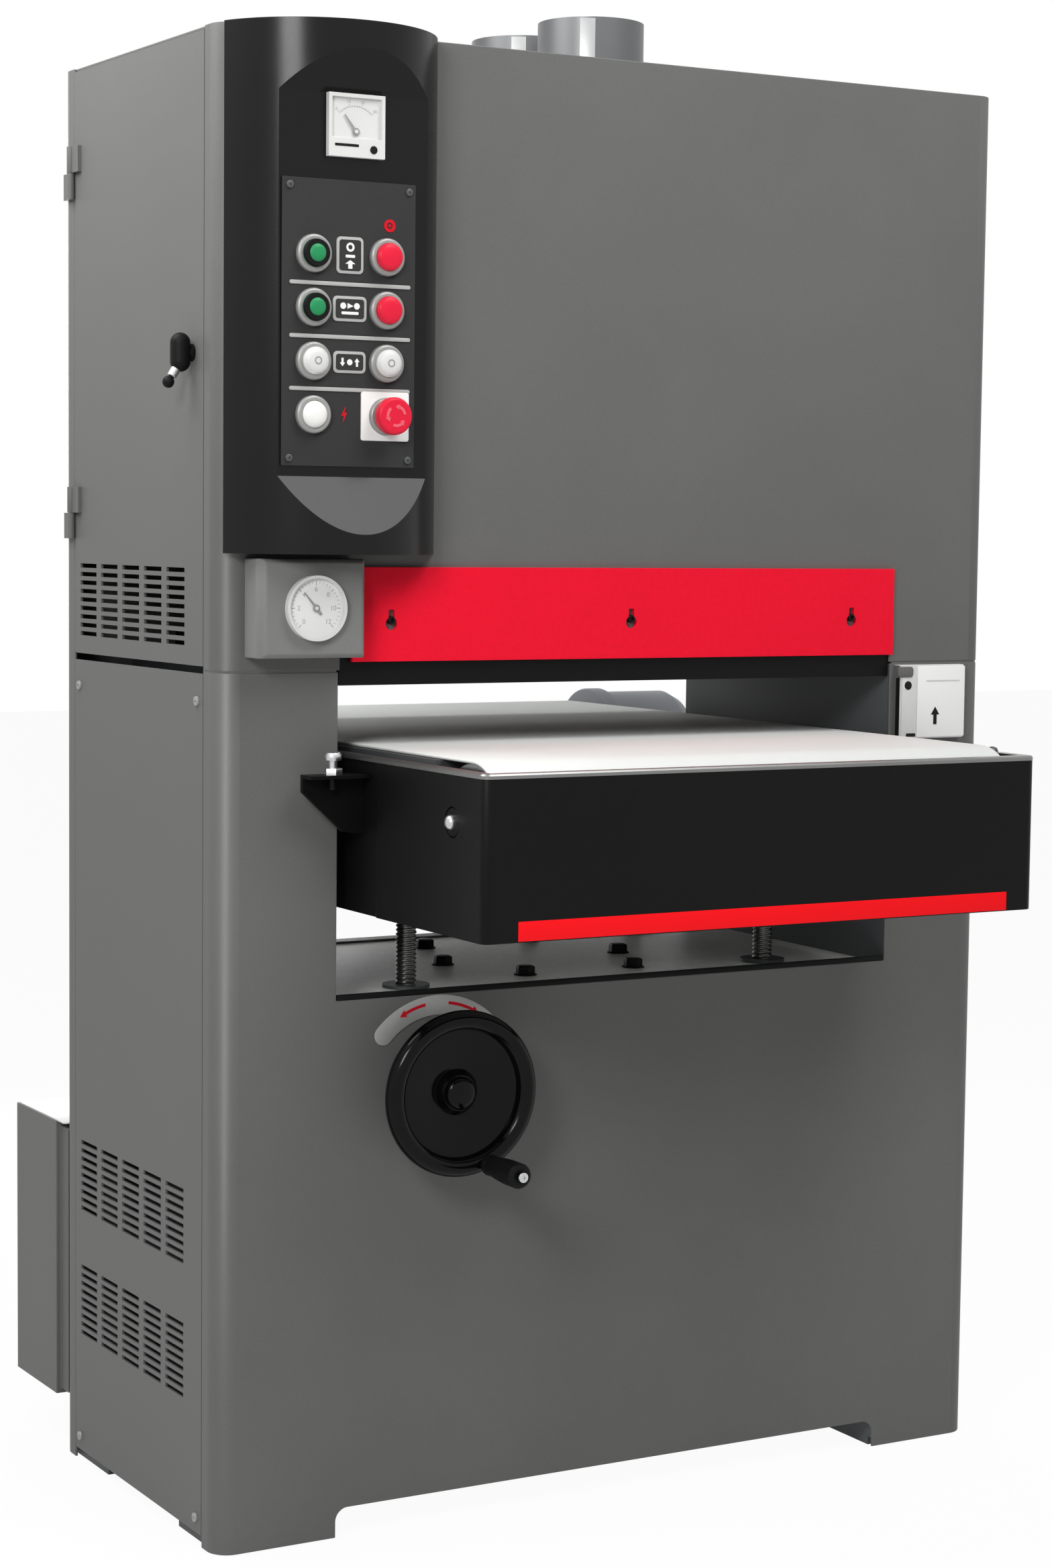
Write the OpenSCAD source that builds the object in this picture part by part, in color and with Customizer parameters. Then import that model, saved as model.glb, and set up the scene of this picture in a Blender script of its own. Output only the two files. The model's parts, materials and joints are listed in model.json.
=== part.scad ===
// Wide belt sander: a free-standing cabinet with a sanding head above a rising feed table.
// Millimetres. Origin on the floor under the middle of the cabinet, +X right, +Y to the outfeed side, +Z up.

/* [Cabinet] */
// Width of the cabinet
cab_w = 1024; // [980:1:1120]
// Depth of the cabinet
cab_d = 455; // [440:1:500]
// Height of the cabinet
cab_h = 1650; // [1640:1:1750]
// Gap of that joint
seam_gap = 2; // [1:0.5:4]
// Thickness of the panel sheet
sheet = 3; // [2:0.5:4]
// Radius of the cabinet's vertical corners
corner_r = 25; // [15:1:32]
// How far the front and rear sheets wrap round the sides
wrap = 40; // [36:1:50]
// Width of the column on each side of the work opening
col_w = 142; // [136:1:150]
// Depth of the work opening's sill below the joint of base and head
sill_drop = 361; // [355:1:376]
// Depth of the flange folded in along the sill
sill_flange = 26; // [15:1:40]
// Gap between neighbouring panels
panel_gap = 0.8; // [0.5:0.1:3]
// Height of the panels' feet
foot_h = 34; // [25:1:39]
// Width of a panel's foot
foot_w = 145; // [143:1:160]
// Radius in the corners of the foot cut-out
foot_r = 15; // [5:1:22]
// Clearance between the panels and the floor
floor_gap = 1; // [0.5:0.5:3]
// Clearance between the side panels and the floor
side_floor_gap = 14; // [5:1:25]

/* [Vents] */
// Columns of slots in a vent group
vent_cols = 5; // [3:1:5]
// Rows of slots in a vent group
vent_rows = 9; // [4:1:9]
// Length of a slot
slot_w = 50; // [30:1:58]
// Height of a slot
slot_h = 5; // [3:0.5:7]
// Pitch of the slots along a row
slot_pitch = 64; // [60:1:68]
// Pitch of the rows
row_pitch = 9.9; // [8.5:0.1:11]
// Middle of the vent groups along the side
vent_y = 16; // [0:1:20]
// Height of the lower vent group's middle
vent_low_z = 199; // [150:1:220]
// Height of the upper vent group's middle
vent_high_z = 350; // [330:1:420]
// Height of the belt door's vent group above the base joint
vent_door_rise = 69; // [60:1:90]

/* [Frame] */
// Thickness of the box columns, across the machine
column_t = 55; // [45:1:60]
// Wall of the box columns
column_wall = 8; // [5:1:12]
// Thickness of the anchor feet
anchor_t = 10; // [8:1:16]
// Radius of the anchor holes
anchor_hole_r = 9; // [6:0.5:11]
// Distance of the anchor holes from the cabinet's side
anchor_inset = 47; // [40:1:55]
// Distance of the anchor bolts from the cabinet's front and rear
anchor_edge = 67.5; // [58:0.5:78]
// Length of an anchor foot along the side
anchor_len = 110; // [80:1:130]
// Thickness of the floor plate and the deck plate
plate_t = 12; // [8:1:16]
// Height of the floor plate's underside
floor_z = 40; // [40:1:60]

/* [Sanding head] */
// Radius of the contact drum
drum_r = 75; // [60:1:78]
// Distance between the contact drum and each head plate
drum_clear = 50; // [40:1:60]
// Height of the drum's axis above the base joint
drum_rise = 53; // [50:1:60]
// Radius of the drum's shaft
drum_shaft_r = 20; // [14:1:22]
// Wall of the drum's tube
drum_wall = 17; // [10:1:25]
// Radius of the tension roller
tension_r = 50; // [40:1:60]
// Distance of the tension roller's axis below the roof
roof_clear = 66; // [63:1:91]
// Distance between the abrasive belt's edge and the drum's end
belt_inset = 7; // [3:0.5:20]
// Thickness of the abrasive belt
abrasive_t = 1.2; // [0.8:0.1:2]
// Thickness of the head's side plates
head_plate_t = 18; // [12:1:20]
// Width of the cantilever beam, front to back
beam_d = 76; // [60:1:90]
// Radius of the hold-down rollers
hold_r = 20; // [15:1:22]
// Distance of the hold-down rollers' axes from the drum's axis
hold_y = 125; // [120:1:140]
// Depth of the shrouds' lower edge below the base joint
shroud_drop = 15; // [10:1:18]
// Height of the shrouds
shroud_h = 49; // [40:1:55]

/* [Main drive] */
// Radius of the main motor
motor_r = 120; // [100:1:125]
// Length of the main motor
motor_len = 460; // [400:1:480]
// Height of the main motor's axis
motor_z = 230; // [200:1:235]
// Radius of the motor pulley
motor_pulley_r = 75; // [60:1:90]
// Radius of the drum pulley
drum_pulley_r = 62; // [50:1:75]
// Number of V belts
vee_count = 3; // [2:1:3]
// Pitch of the V grooves
vee_pitch = 16; // [15:0.5:17]

/* [Dust collars] */
// Outer radius of the collars
collar_r = 63.5; // [50:0.5:65]
// Height of the collars above the roof
collar_h = 75; // [50:1:100]
// Wall of the collars
collar_wall = 2; // [1:0.5:3]
// Place of the collars across the roof
collar_x = 67; // [0:1:120]
// Place of the front collar along the roof
collar_front_y = -12; // [-40:1:0]
// Distance between the collars
collar_pitch = 165; // [140:1:170]

/* [Front] */
// Height of the red guard
guard_h = 103; // [80:1:110]
// Height of the guard's lower edge above the base joint
guard_rise = 11; // [8:1:16]
// Thickness of the guard
guard_t = 5; // [3:0.5:8]
// Radius of the keyholes' round end
keyhole_r = 7; // [5:0.5:9]
// Distance of the outer keyhole from the guard's right end
keyhole_inset = 62; // [50:1:110]
// Width of the gauge block
block_w = 126; // [110:1:128]
// Height of the gauge block
block_h = 106; // [90:1:110]
// Depth of the gauge block
block_d = 38; // [25:1:50]
// Chamfer of the gauge block
block_chamfer = 8; // [2:1:15]
// Radius of the pressure gauge
gauge_r = 35; // [30:1:44]
// Depth of the pressure gauge
gauge_d = 8; // [6:0.5:15]
// Width of the plate box
plate_box_w = 98; // [80:1:110]
// Height of the plate box
plate_box_h = 89; // [70:1:95]
// Depth of the plate box
plate_box_d = 12; // [8:1:40]

/* [Control pedestal] */
// Width of the pedestal where it meets the front
ped_w = 252; // [240:1:270]
// How far the pedestal stands out
ped_d = 85; // [75:1:100]
// Height of the pedestal's underside above the base joint
ped_rise = 128; // [125:1:135]
// Distance of the pedestal from the cabinet's left side
ped_inset = 5; // [0:1:20]
// Wall of the pedestal
ped_wall = 4; // [3:0.5:6]
// How far the flat recess stands out from the front
recess_d = 53; // [48:1:60]
// Rise of the sloped ceiling per millimetre outwards
ceiling_slope = 1.4; // [1:0.1:1.6]
// Fall of the sloped sill per millimetre outwards
sill_slope = 1.9; // [1.2:0.1:2]
// Width of the control plate
ctrl_w = 156; // [150:1:162]
// Distance of the controls' middle left of the pedestal's
ctrl_shift = 6; // [0:1:6]
// Thickness of the control plate
ctrl_t = 3; // [2:0.5:5]
// Height of the control plate's lower edge above the recess's
ctrl_rise = 11; // [6:1:14]
// Distance of the button columns from the plate's middle
button_x = 43; // [40:1:48]
// Radius of a push button
button_r = 14.5; // [10:0.5:16]
// Outer radius of a button bezel
bezel_r = 20; // [18:0.5:22]
// How far a bezel stands out
bezel_d = 7; // [6:0.5:12]
// How far a button stands out of its bezel
button_d = 5; // [4.5:0.5:8]
// Radius of the emergency stop's head
estop_r = 20; // [16:0.5:22]
// Radius of the emergency stop's stem
estop_stem_r = 11; // [8:0.5:13]
// Side of the ammeter
meter_w = 66; // [55:1:70]
// Depth of the ammeter
meter_d = 7; // [6:1:18]
// Distance of the ammeter above the control plate
meter_gap = 24; // [10:1:26]

/* [Feed table] */
// Gap between the table and the sides of the work opening
table_gap = 17; // [12:1:24]
// Length of the table
table_len = 1055; // [1000:1:1150]
// Depth of the table rollers' axes below the base joint
roller_drop = 144; // [140:1:151]
// Radius of the table rollers
roller_r = 59.2; // [50:0.1:61]
// Distance of the rollers' axes from the table's ends
roller_inset = 68.5; // [66:0.5:80]
// Radius of the rollers' shafts
roller_shaft_r = 15; // [10:0.5:20]
// Thickness of the feed belt
feed_t = 3; // [2:0.5:4]
// Thickness of the table's side plates
rail_t = 12; // [8:1:16]
// Distance of the side plates' lower edge below the rollers' axes
rail_below = 119; // [116:1:122]
// Distance of the side plates' upper edge above the rollers' axes
rail_above = 53; // [48:1:56]
// Thickness of the end covers
cover_t = 2.7; // [2:0.1:4]
// Distance of the end covers' wings from the cabinet
cover_clear = 60; // [45:1:150]
// Radius of the end covers' corners
cover_r = 10; // [6:1:16]
// Depth of the end covers' top flange
cover_lip = 18; // [8:1:22]
// Thickness of the table bed
bed_t = 13; // [8:1:18]

/* [Table lift] */
// Distance of the lift screws, and of the handwheel, from the columns
lift_inset = 126; // [110:1:145]
// Distance of the lift screws from the cabinet's front and rear
lift_edge = 77.5; // [72:0.5:88]
// Radius of the lift screws
lift_r = 12; // [9:0.5:13]
// Length of the lift screws
lift_len = 275; // [260:1:300]
// Radius of the sprockets
sprocket_r = 36; // [30:0.5:40]
// Thickness of the chain, radially
chain_t = 8; // [5:0.5:10]
// Depth of the handwheel's axis below the deck plate
wheel_drop = 88.5; // [80:0.5:96]
// Radius of the handwheel
wheel_r = 93; // [75:1:95]
// Radius of the handwheel's rim section
rim_r = 11; // [8:0.5:14]
// Distance of the rim's middle from the front
wheel_d = 57; // [52:1:70]
// Radius of the handwheel's shaft
wheel_shaft_r = 10; // [8:0.5:12]
// Radius of the bevel wheels' large end
bevel_r = 38; // [34:1:39]
// Angle of the crank handle from the horizontal
crank_angle = -70; // [-90:1:0]
// Length of the crank handle
crank_len = 74; // [50:1:90]
// Radius of the crank handle
crank_r = 14; // [9:0.5:15]
// Distance of the crank's pin outside the middle of the rim
crank_out = 3; // [0:0.5:6]

/* [Electrics] */
// Width of the box for the electrics
ebox_w = 420; // [300:1:480]
// Depth of the box for the electrics
ebox_d = 160; // [120:1:200]
// Height of the box for the electrics
ebox_h = 338; // [280:1:400]
// Height of the box's underside
ebox_z = 62; // [50:1:90]
// Depth of the neck between the box and the cabinet
ebox_neck = 24; // [10:1:30]
// Radius of the feed motor
feed_motor_r = 79; // [65:1:82]
// Length of the feed motor
feed_motor_len = 140; // [110:1:200]

/* [Fits] */
// Radial clearance of running fits
run_fit = 0.05; // [0.02:0.01:0.1]
// Gap between pieces that only lie close
near_gap = 0.3; // [0.2:0.1:0.5]

/* [Hidden] */
$fn = 96;
hw = cab_w / 2;
hd = cab_d / 2;
oh = hw - col_w;
base_share = 161 / 275;
seam_z = cab_h * base_share;
head_h = cab_h - seam_z;
sill_z = seam_z - sill_drop;
inner_w = cab_w - 2 * sheet;
inner_d = cab_d - 2 * sheet;
deck_top = sill_z - sheet;
deck_z = deck_top - plate_t;
column_d = inner_d - 2 * near_gap;
drum_z = seam_z + drum_rise;
tension_z = cab_h - roof_clear;
belt_span = tension_z - drum_z;
head_x = oh + 5;
drum_len = 2 * (head_x - drum_clear);
abrasive_w = drum_len - 2 * belt_inset;
head_clear = belt_span - drum_r - tension_r;
beam_rise = drum_rise + drum_r + head_clear * 43 / 220;
beam_h = head_clear * 3 / 11;
head_plate_h = beam_rise + beam_h + 20;
cylinder_h = head_clear * 7 / 22;
yoke_bar = head_clear * 5 / 88;
head_out = head_x + head_plate_t;
shroud_hw = oh - 2;
hold_z = seam_z - shroud_drop + hold_r - 3;
bearing_len = 28;
pulley_x = hw - sheet - 9 - vee_count * vee_pitch - 8;
pulley_w = vee_count * vee_pitch + 4;
shaft_end_x = hw - sheet - 8;
motor_x1 = oh - 70;
motor_shaft_r = 19;
table_hw = oh - table_gap;
rail_out = table_hw - cover_t - near_gap;
rail_in = rail_out - rail_t;
table_end = table_len / 2;
roller_z = seam_z - roller_drop;
rail_low_z = roller_z - rail_below;
rail_high_z = roller_z + rail_above;
cover_wrap = table_end - hd - cover_clear;
roller_y = table_end - roller_inset;
feed_hw = rail_in - 8;
feed_in_r = roller_r + near_gap;
feed_out_r = feed_in_r + feed_t;
member_top = roller_z - feed_out_r - 9;
front = -hd;
lift_x = oh - lift_inset;
lift_y = hd - lift_edge;
anchor_span = cab_d - 2 * anchor_edge;
wheel_z = deck_z - wheel_drop;
keyhole_pitch = oh - keyhole_inset;
block_x = -oh - block_w + 14;
block_z = seam_z + guard_rise + 6;
ped_cx = -hw + ped_inset + ped_w / 2;
ped_r = (ped_w * ped_w / 4 + ped_d * ped_d) / (2 * ped_d);
ped_cy = front - ped_d + ped_r;
recess_y = front - recess_d;
ped_z = seam_z + ped_rise;
ped_h = cab_h - ped_z;
recess_low_z = ped_z + ped_h * 82 / 556;
recess_high_z = cab_h - ped_h * 73 / 556;
ctrl_cx = ped_cx - ctrl_shift;
ctrl_y = recess_y - ctrl_t;
ctrl_z = recess_low_z + ctrl_rise;
ctrl_h = recess_high_z - ctrl_z - meter_gap - meter_w;
button_rise = ctrl_h * 0.18;
button_pitch = ctrl_h * 14 / 75;
button_z = ctrl_z + button_rise;
button_seat = 10;
button_travel = 4;
meter_z = ctrl_z + ctrl_h + meter_gap + meter_w / 2;
wheel_y = front - wheel_d;
crank_at = wheel_r - rim_r;
door_z0 = seam_z + seam_gap + 4;
door_z1 = cab_h - 4;
side_y = hd - wrap - panel_gap;
hinge_r = 4.5;
hinge_pin_r = 2.5;
hinge_len = 30;
hinge_x = -hw - hinge_r - 0.2;
hinge_y = hd - wrap - panel_gap / 2;
latch_y = front + 70.5;
latch_z = seam_z + head_h / 2;
pedestal_hole_r = button_r + 1;
tension_rod_r = 15;
yoke_z = tension_z - tension_r - head_clear * 13 / 88;
yoke_in = drum_len / 2 + 13;
yoke_out = yoke_in + 12;
gauge_x = block_x + block_w / 2 + 2;
gauge_z = block_z + block_h / 2 + 0.5;
gauge_stem_r = 10;
gauge_y = front - block_d;
gauge_face_y = gauge_y - gauge_d + 5;
meter_face_y = recess_y - meter_d + 4;
meter_post_z = meter_z - meter_w / 2 + 27;
nut_z = deck_z - 42;
chain_z = deck_z - 24;
bevel_gap = 0.6;
spigot_r = 40;
drive_bore_len = 60;
collar_in_r = collar_r - collar_wall;
rail_end = table_end - cover_r;
member_d = 70;
roller_wall = 9;
tension_shaft_r = 12;

// Helpers: solids between stated limits, and outlines carried along one axis

// Box between two corners
module box(x0, x1, y0, y1, z0, z1) {
    translate([x0, y0, z0])
        cube([x1 - x0, y1 - y0, z1 - z0]);
}

// Cylinder along X
module x_cyl(r, x0, x1, y, z) {
    translate([x0, y, z])
        rotate([0, 90, 0])
            cylinder(r = r, h = x1 - x0);
}

// Cylinder along Y
module y_cyl(r, y0, y1, x, z) {
    translate([x, y1, z])
        rotate([90, 0, 0])
            cylinder(r = r, h = y1 - y0);
}

// Cylinder along Z
module z_cyl(r, z0, z1, x, y) {
    translate([x, y, z0])
        cylinder(r = r, h = z1 - z0);
}

// Outline drawn in (Y, Z), carried along X
module side_prism(x0, x1) {
    translate([x0, 0, 0])
        rotate([90, 0, 90])
            linear_extrude(x1 - x0)
                children();
}

// Outline drawn in (X, Z), carried along Y
module front_prism(y0, y1) {
    translate([0, y1, 0])
        rotate([90, 0, 0])
            linear_extrude(y1 - y0)
                children();
}

// Outline drawn in (X, Y), carried along Z
module plan_prism(z0, z1) {
    translate([0, 0, z0])
        linear_extrude(z1 - z0)
            children();
}

// The same piece on both sides of the middle plane
module both_sides() {
    children();
    mirror([1, 0, 0])
        children();
}

// The same piece at the front and at the rear
module both_ends() {
    children();
    mirror([0, 1, 0])
        children();
}

// Rectangle between two corners
module rect(x0, x1, y0, y1) {
    translate([x0, y0])
        square([x1 - x0, y1 - y0]);
}

// Rectangle with round corners, centred
module round_rect(w, d, r) {
    square([w - 2 * r, d], center = true);
    square([w, d - 2 * r], center = true);
    for (sx = [-1, 1], sy = [-1, 1])
        translate([sx * (w / 2 - r), sy * (d / 2 - r)])
            circle(r);
}

// Region inside a belt on two pulleys, the first at the origin and the second at (0, d).
// The straight runs lie a hair inside the tangents, so that they cross the round ends.
module belt_region(r1, r2, d) {
    lean = asin((r1 - r2) / d);
    sink = 0.02;
    x = cos(lean);
    y = sin(lean);
    circle(r1);
    translate([0, d])
        circle(r2);
    polygon([
        [(r1 - sink) * x, (r1 - sink) * y],
        [(r2 - sink) * x, d + (r2 - sink) * y],
        [-(r2 - sink) * x, d + (r2 - sink) * y],
        [-(r1 - sink) * x, (r1 - sink) * y]
    ]);
}

// Belt of a given thickness on two pulleys
module belt_ring(r1, r2, d, t) {
    difference() {
        belt_region(r1 + t, r2 + t, d);
        belt_region(r1, r2, d);
    }
}

// Tube along X closed by two end discs, with the space inside it round a shaft
module tube_roller(r, wall, length, shaft_r, y, z) {
    disc = 20;
    difference() {
        x_cyl(r, -length / 2, length / 2, y, z);
        difference() {
            x_cyl(r - wall, -length / 2 + disc, length / 2 - disc, y, z);
            x_cyl(shaft_r, -length / 2, length / 2, y, z);
        }
    }
}

// Cabinet

// Plan of the sheet that closes the front and wraps both corners
module front_wrap_plan() {
    difference() {
        intersection() {
            round_rect(cab_w, cab_d, corner_r);
            rect(-hw, hw, -hd, -hd + wrap);
        }
        round_rect(inner_w, inner_d, corner_r - sheet);
    }
}

// Cut-out between the feet of a panel, with round upper corners
module foot_cut() {
    w = hw - foot_w;
    rect(-w, w, -foot_h, foot_h - foot_r);
    rect(-w + foot_r, w - foot_r, -foot_h, foot_h);
    for (sx = [-1, 1])
        translate([sx * (w - foot_r), foot_h - foot_r])
            circle(foot_r);
}

// Front sheet between two heights, with the work opening and the foot cut-out where it reaches them
module front_sheet(z0, z1) {
    difference() {
        plan_prism(z0, z1)
            front_wrap_plan();
        front_prism(-hd - 1, -hd + wrap + 1)
            union() {
                rect(-oh, oh, sill_z, seam_z + seam_gap);
                foot_cut();
            }
    }
}

// Flange folded in along the sill of the work opening
module sill_fold() {
    box(-oh, oh, -hd, -hd + sill_flange, deck_top, sill_z);
}

// Rows of slots about (y, z)
module vent_group(y, z) {
    for (c = [0 : vent_cols - 1], r = [0 : vent_rows - 1])
        translate([y + (c - (vent_cols - 1) / 2) * slot_pitch, z + (r - (vent_rows - 1) / 2) * row_pitch])
            square([slot_w, slot_h], center = true);
}

// Box column on two anchor feet, open below between them
module side_column() {
    foot_y = anchor_span / 2;
    difference() {
        union() {
            box(oh, oh + column_t, -column_d / 2, column_d / 2, anchor_t, seam_z);
            both_ends()
                box(oh, hw - sheet - 6, -foot_y - anchor_len / 2, -foot_y + anchor_len / 2, 0, anchor_t);
        }
        difference() {
            box(oh + column_wall, oh + column_t - column_wall, -column_d / 2 + column_wall,
                column_d / 2 - column_wall, -1, seam_z - column_wall);
            both_ends()
                box(oh, hw, -hd, -foot_y + anchor_len / 2, -2, anchor_t);
        }
        both_ends()
            z_cyl(anchor_hole_r, -1, anchor_t + 1, hw - anchor_inset, -foot_y);
    }
}

// Columns left and right, the right one cut through for the motor's shaft
module side_columns() {
    color("dimgray") {
        difference() {
            side_column();
            x_cyl(motor_shaft_r + 14, oh - 1, oh + column_t + 1, 0, motor_z);
        }
        mirror([1, 0, 0])
            side_column();
    }
}

module frame_plates() {
    color("darkgray") {
        box(-oh, oh, -column_d / 2, column_d / 2, floor_z, floor_z + plate_t);
        difference() {
            box(-oh, oh, -column_d / 2, column_d / 2, deck_z, deck_top);
            both_sides()
                both_ends()
                    z_cyl(lift_r + 6 + run_fit, deck_z - 1, deck_top + 1, -lift_x, -lift_y);
        }
    }
}

module lower_front_panel() {
    color([0.36, 0.37, 0.37])
        difference() {
            union() {
                front_sheet(floor_gap, seam_z);
                sill_fold();
            }
            y_cyl(wheel_shaft_r + run_fit, -hd - 1, -hd + sheet + 1, -lift_x, wheel_z);
        }
}

module rear_panel() {
    color([0.36, 0.37, 0.37])
        mirror([0, 1, 0]) {
            front_sheet(floor_gap, cab_h);
            sill_fold();
        }
}

module side_panels() {
    color([0.42, 0.43, 0.43])
        both_sides()
            side_prism(-hw, -hw + sheet)
                difference() {
                    rect(-side_y, side_y, side_floor_gap, seam_z - seam_gap);
                    vent_group(vent_y, vent_low_z);
                    vent_group(vent_y, vent_high_z);
                }
}

module upper_front_panel() {
    color([0.36, 0.37, 0.37])
        difference() {
            front_sheet(seam_z + seam_gap, cab_h);
            box(-shroud_hw, shroud_hw, front - 1, front + sheet + 1, seam_z, seam_z + guard_rise + 8);
        }
}

module upper_right_panel() {
    color([0.36, 0.37, 0.37])
        box(hw - sheet, hw, -side_y, side_y, seam_z + seam_gap, cab_h);
}

module roof_panel() {
    color([0.36, 0.37, 0.37])
        difference() {
            plan_prism(cab_h - sheet, cab_h)
                round_rect(inner_w - 2 * near_gap, inner_d - 2 * near_gap, corner_r - sheet);
            for (i = [0, 1])
                z_cyl(collar_in_r, cab_h - sheet - 1, cab_h + 1, collar_x, collar_front_y + i * collar_pitch);
        }
}

// Rolled collar with a bead near its open end
module dust_collars() {
    bead = 1.2;
    color("silver")
        for (i = [0, 1])
            translate([collar_x, collar_front_y + i * collar_pitch, cab_h])
                difference() {
                    cylinder(r = collar_r, h = collar_h);
                    translate([0, 0, -1])
                        cylinder(r = collar_in_r, h = collar_h + 2);
                    translate([0, 0, collar_h - bead])
                        cylinder(r1 = collar_in_r, r2 = collar_in_r + bead, h = bead);
                }
}

module hinge_heights(offset) {
    for (z = [seam_z + 140, cab_h - 150])
        translate([hinge_x, hinge_y, z + offset])
            children();
}

// Fixed halves of the lift-off hinges, each with its pin
module hinge_pins() {
    color([0.42, 0.43, 0.43])
        hinge_heights(0) {
            cylinder(r = hinge_r, h = hinge_len);
            cylinder(r = hinge_pin_r, h = 2 * hinge_len - 3);
            translate([0, panel_gap / 2, 0])
                cube([-hw - hinge_x, 22, hinge_len]);
        }
}

// Door sheet with its vents and the upper halves of its hinges
module belt_door() {
    color([0.42, 0.43, 0.43])
        difference() {
            union() {
                side_prism(-hw, -hw + sheet)
                    difference() {
                        rect(-side_y, side_y, door_z0, door_z1);
                        vent_group(vent_y, seam_z + vent_door_rise);
                    }
                hinge_heights(hinge_len + near_gap) {
                    cylinder(r = hinge_r, h = hinge_len);
                    translate([0, -22 - panel_gap / 2, 0])
                        cube([-hw - hinge_x, 22, hinge_len]);
                }
            }
            hinge_heights(hinge_len - 1)
                cylinder(r = hinge_pin_r + run_fit, h = 2 * hinge_len);
            x_cyl(8 + run_fit, -hw - 1, -hw + sheet + 1, latch_y, latch_z);
        }
}

// Quarter-turn latch: rose, upright grip, ball on a slanted arm, spindle and inner tongue
module door_latch() {
    grip_r = 11;
    grip_half = 10;
    stand = 14;
    arm = 26;
    arm_angle = 32;
    ball_r = 6.5;
    color([0.08, 0.08, 0.08])
        translate([-hw, latch_y, latch_z]) {
            x_cyl(8, -stand, sheet + 8, 0, 0);
            x_cyl(9.5, -4, -near_gap, 0, 0);
            z_cyl(grip_r, -grip_half, grip_half, -stand, 0);
            for (end = [-1, 1])
                translate([-stand, 0, end * grip_half])
                    sphere(grip_r);
            translate([-stand, 0, -grip_half])
                rotate([0, arm_angle, 0])
                    translate([0, 0, -arm]) {
                        cylinder(r1 = 3, r2 = 4.5, h = arm);
                        sphere(ball_r);
                    }
            box(sheet + 2, sheet + 7, -28, 10, -10, 10);
        }
}

// Sanding head

module head_frame() {
    color("slategray") {
        difference() {
            box(head_x, head_out, -column_d / 2, column_d / 2, seam_z, seam_z + head_plate_h);
            x_cyl(drum_shaft_r + 4, head_x - 1, head_out + 1, 0, drum_z);
        }
        difference() {
            box(-head_out, -head_x, -45, 45, seam_z + 8 + near_gap, seam_z + beam_rise + beam_h);
            x_cyl(drum_shaft_r + 4, -head_out - 1, -head_x + 1, 0, drum_z);
        }
        box(-head_out, -head_x, -40, 40, seam_z, seam_z + 8);
        beam_with_cylinder();
    }
}

// Beam between the head plates, with the air cylinder that pushes the yoke up
module beam_with_cylinder() {
    z0 = seam_z + beam_rise;
    z1 = z0 + beam_h;
    x = head_x - near_gap;
    difference() {
        union() {
            box(-x, x, -beam_d / 2, beam_d / 2, z0, z1);
            z_cyl(34, z1 - 1, z1 + cylinder_h, 0, 0);
        }
        z_cyl(tension_rod_r + run_fit, z1 + 12, z1 + cylinder_h + 1, 0, 0);
    }
}

module tension_yoke() {
    color("lightslategray") {
        z_cyl(tension_rod_r, seam_z + beam_rise + beam_h + cylinder_h / 5, yoke_z + 1, 0, 0);
        box(-yoke_in - 1, yoke_in + 1, -20, 20, yoke_z, yoke_z + yoke_bar);
        both_sides()
            difference() {
                box(yoke_in, yoke_out, -25, 25, yoke_z, tension_z + 27);
                x_cyl(tension_shaft_r + run_fit, yoke_in - 1, yoke_out + 1, 0, tension_z);
            }
    }
}

module tension_roller() {
    color("gainsboro") {
        tube_roller(tension_r, roller_wall, drum_len, tension_shaft_r, 0, tension_z);
        x_cyl(tension_shaft_r, -yoke_out, yoke_out, 0, tension_z);
    }
}

module contact_drum() {
    color([0.16, 0.16, 0.16]) {
        tube_roller(drum_r, drum_wall, drum_len, drum_shaft_r, 0, drum_z);
        x_cyl(drum_shaft_r, -head_out - bearing_len - 3, shaft_end_x, 0, drum_z);
    }
}

module drum_bearings() {
    color("darkslategray")
        both_sides()
            difference() {
                union() {
                    x_cyl(44, head_out, head_out + 10, 0, drum_z);
                    x_cyl(36, head_out, head_out + bearing_len, 0, drum_z);
                }
                x_cyl(drum_shaft_r + run_fit, head_out - 1, head_out + bearing_len + 1, 0, drum_z);
            }
}

module abrasive_belt() {
    color("saddlebrown")
        translate([0, 0, drum_z])
            side_prism(-abrasive_w / 2, abrasive_w / 2)
                belt_ring(drum_r + near_gap, tension_r + near_gap, belt_span, abrasive_t);
}

// Pulley with V grooves, turned about the X axis at (0, z)
module vee_pulley(r, bore, z) {
    depth = 12;
    mouth = 13;
    floor_w = 9;
    groove = [for (i = [0 : vee_count - 1])
        let (m = 2 + vee_pitch * (i + 0.5))
        each [
            [r, m - mouth / 2],
            [r - depth, m - floor_w / 2],
            [r - depth, m + floor_w / 2],
            [r, m + mouth / 2]
        ]
    ];
    translate([pulley_x, 0, z])
        rotate([0, 90, 0])
            rotate_extrude()
                polygon(concat([[bore, 0], [r, 0]], groove, [[r, pulley_w], [bore, pulley_w]]));
}

module drum_pulley() {
    color("dimgray")
        vee_pulley(drum_pulley_r, drum_shaft_r + run_fit, drum_z);
}

// Motor pulley with the motor's shaft
module motor_pulley() {
    color("dimgray") {
        vee_pulley(motor_pulley_r, motor_shaft_r - 1, motor_z);
        x_cyl(motor_shaft_r, motor_x1 - 60, pulley_x + pulley_w + 2, 0, motor_z);
    }
}

module drive_belts() {
    sunk = 7;
    color([0.1, 0.1, 0.1])
        for (i = [0 : vee_count - 1])
            translate([pulley_x + 2 + vee_pitch * (i + 0.5), 0, motor_z])
                side_prism(-5, 5)
                    belt_ring(motor_pulley_r - sunk, drum_pulley_r - sunk, drum_z - motor_z, sunk + 1);
}

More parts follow.
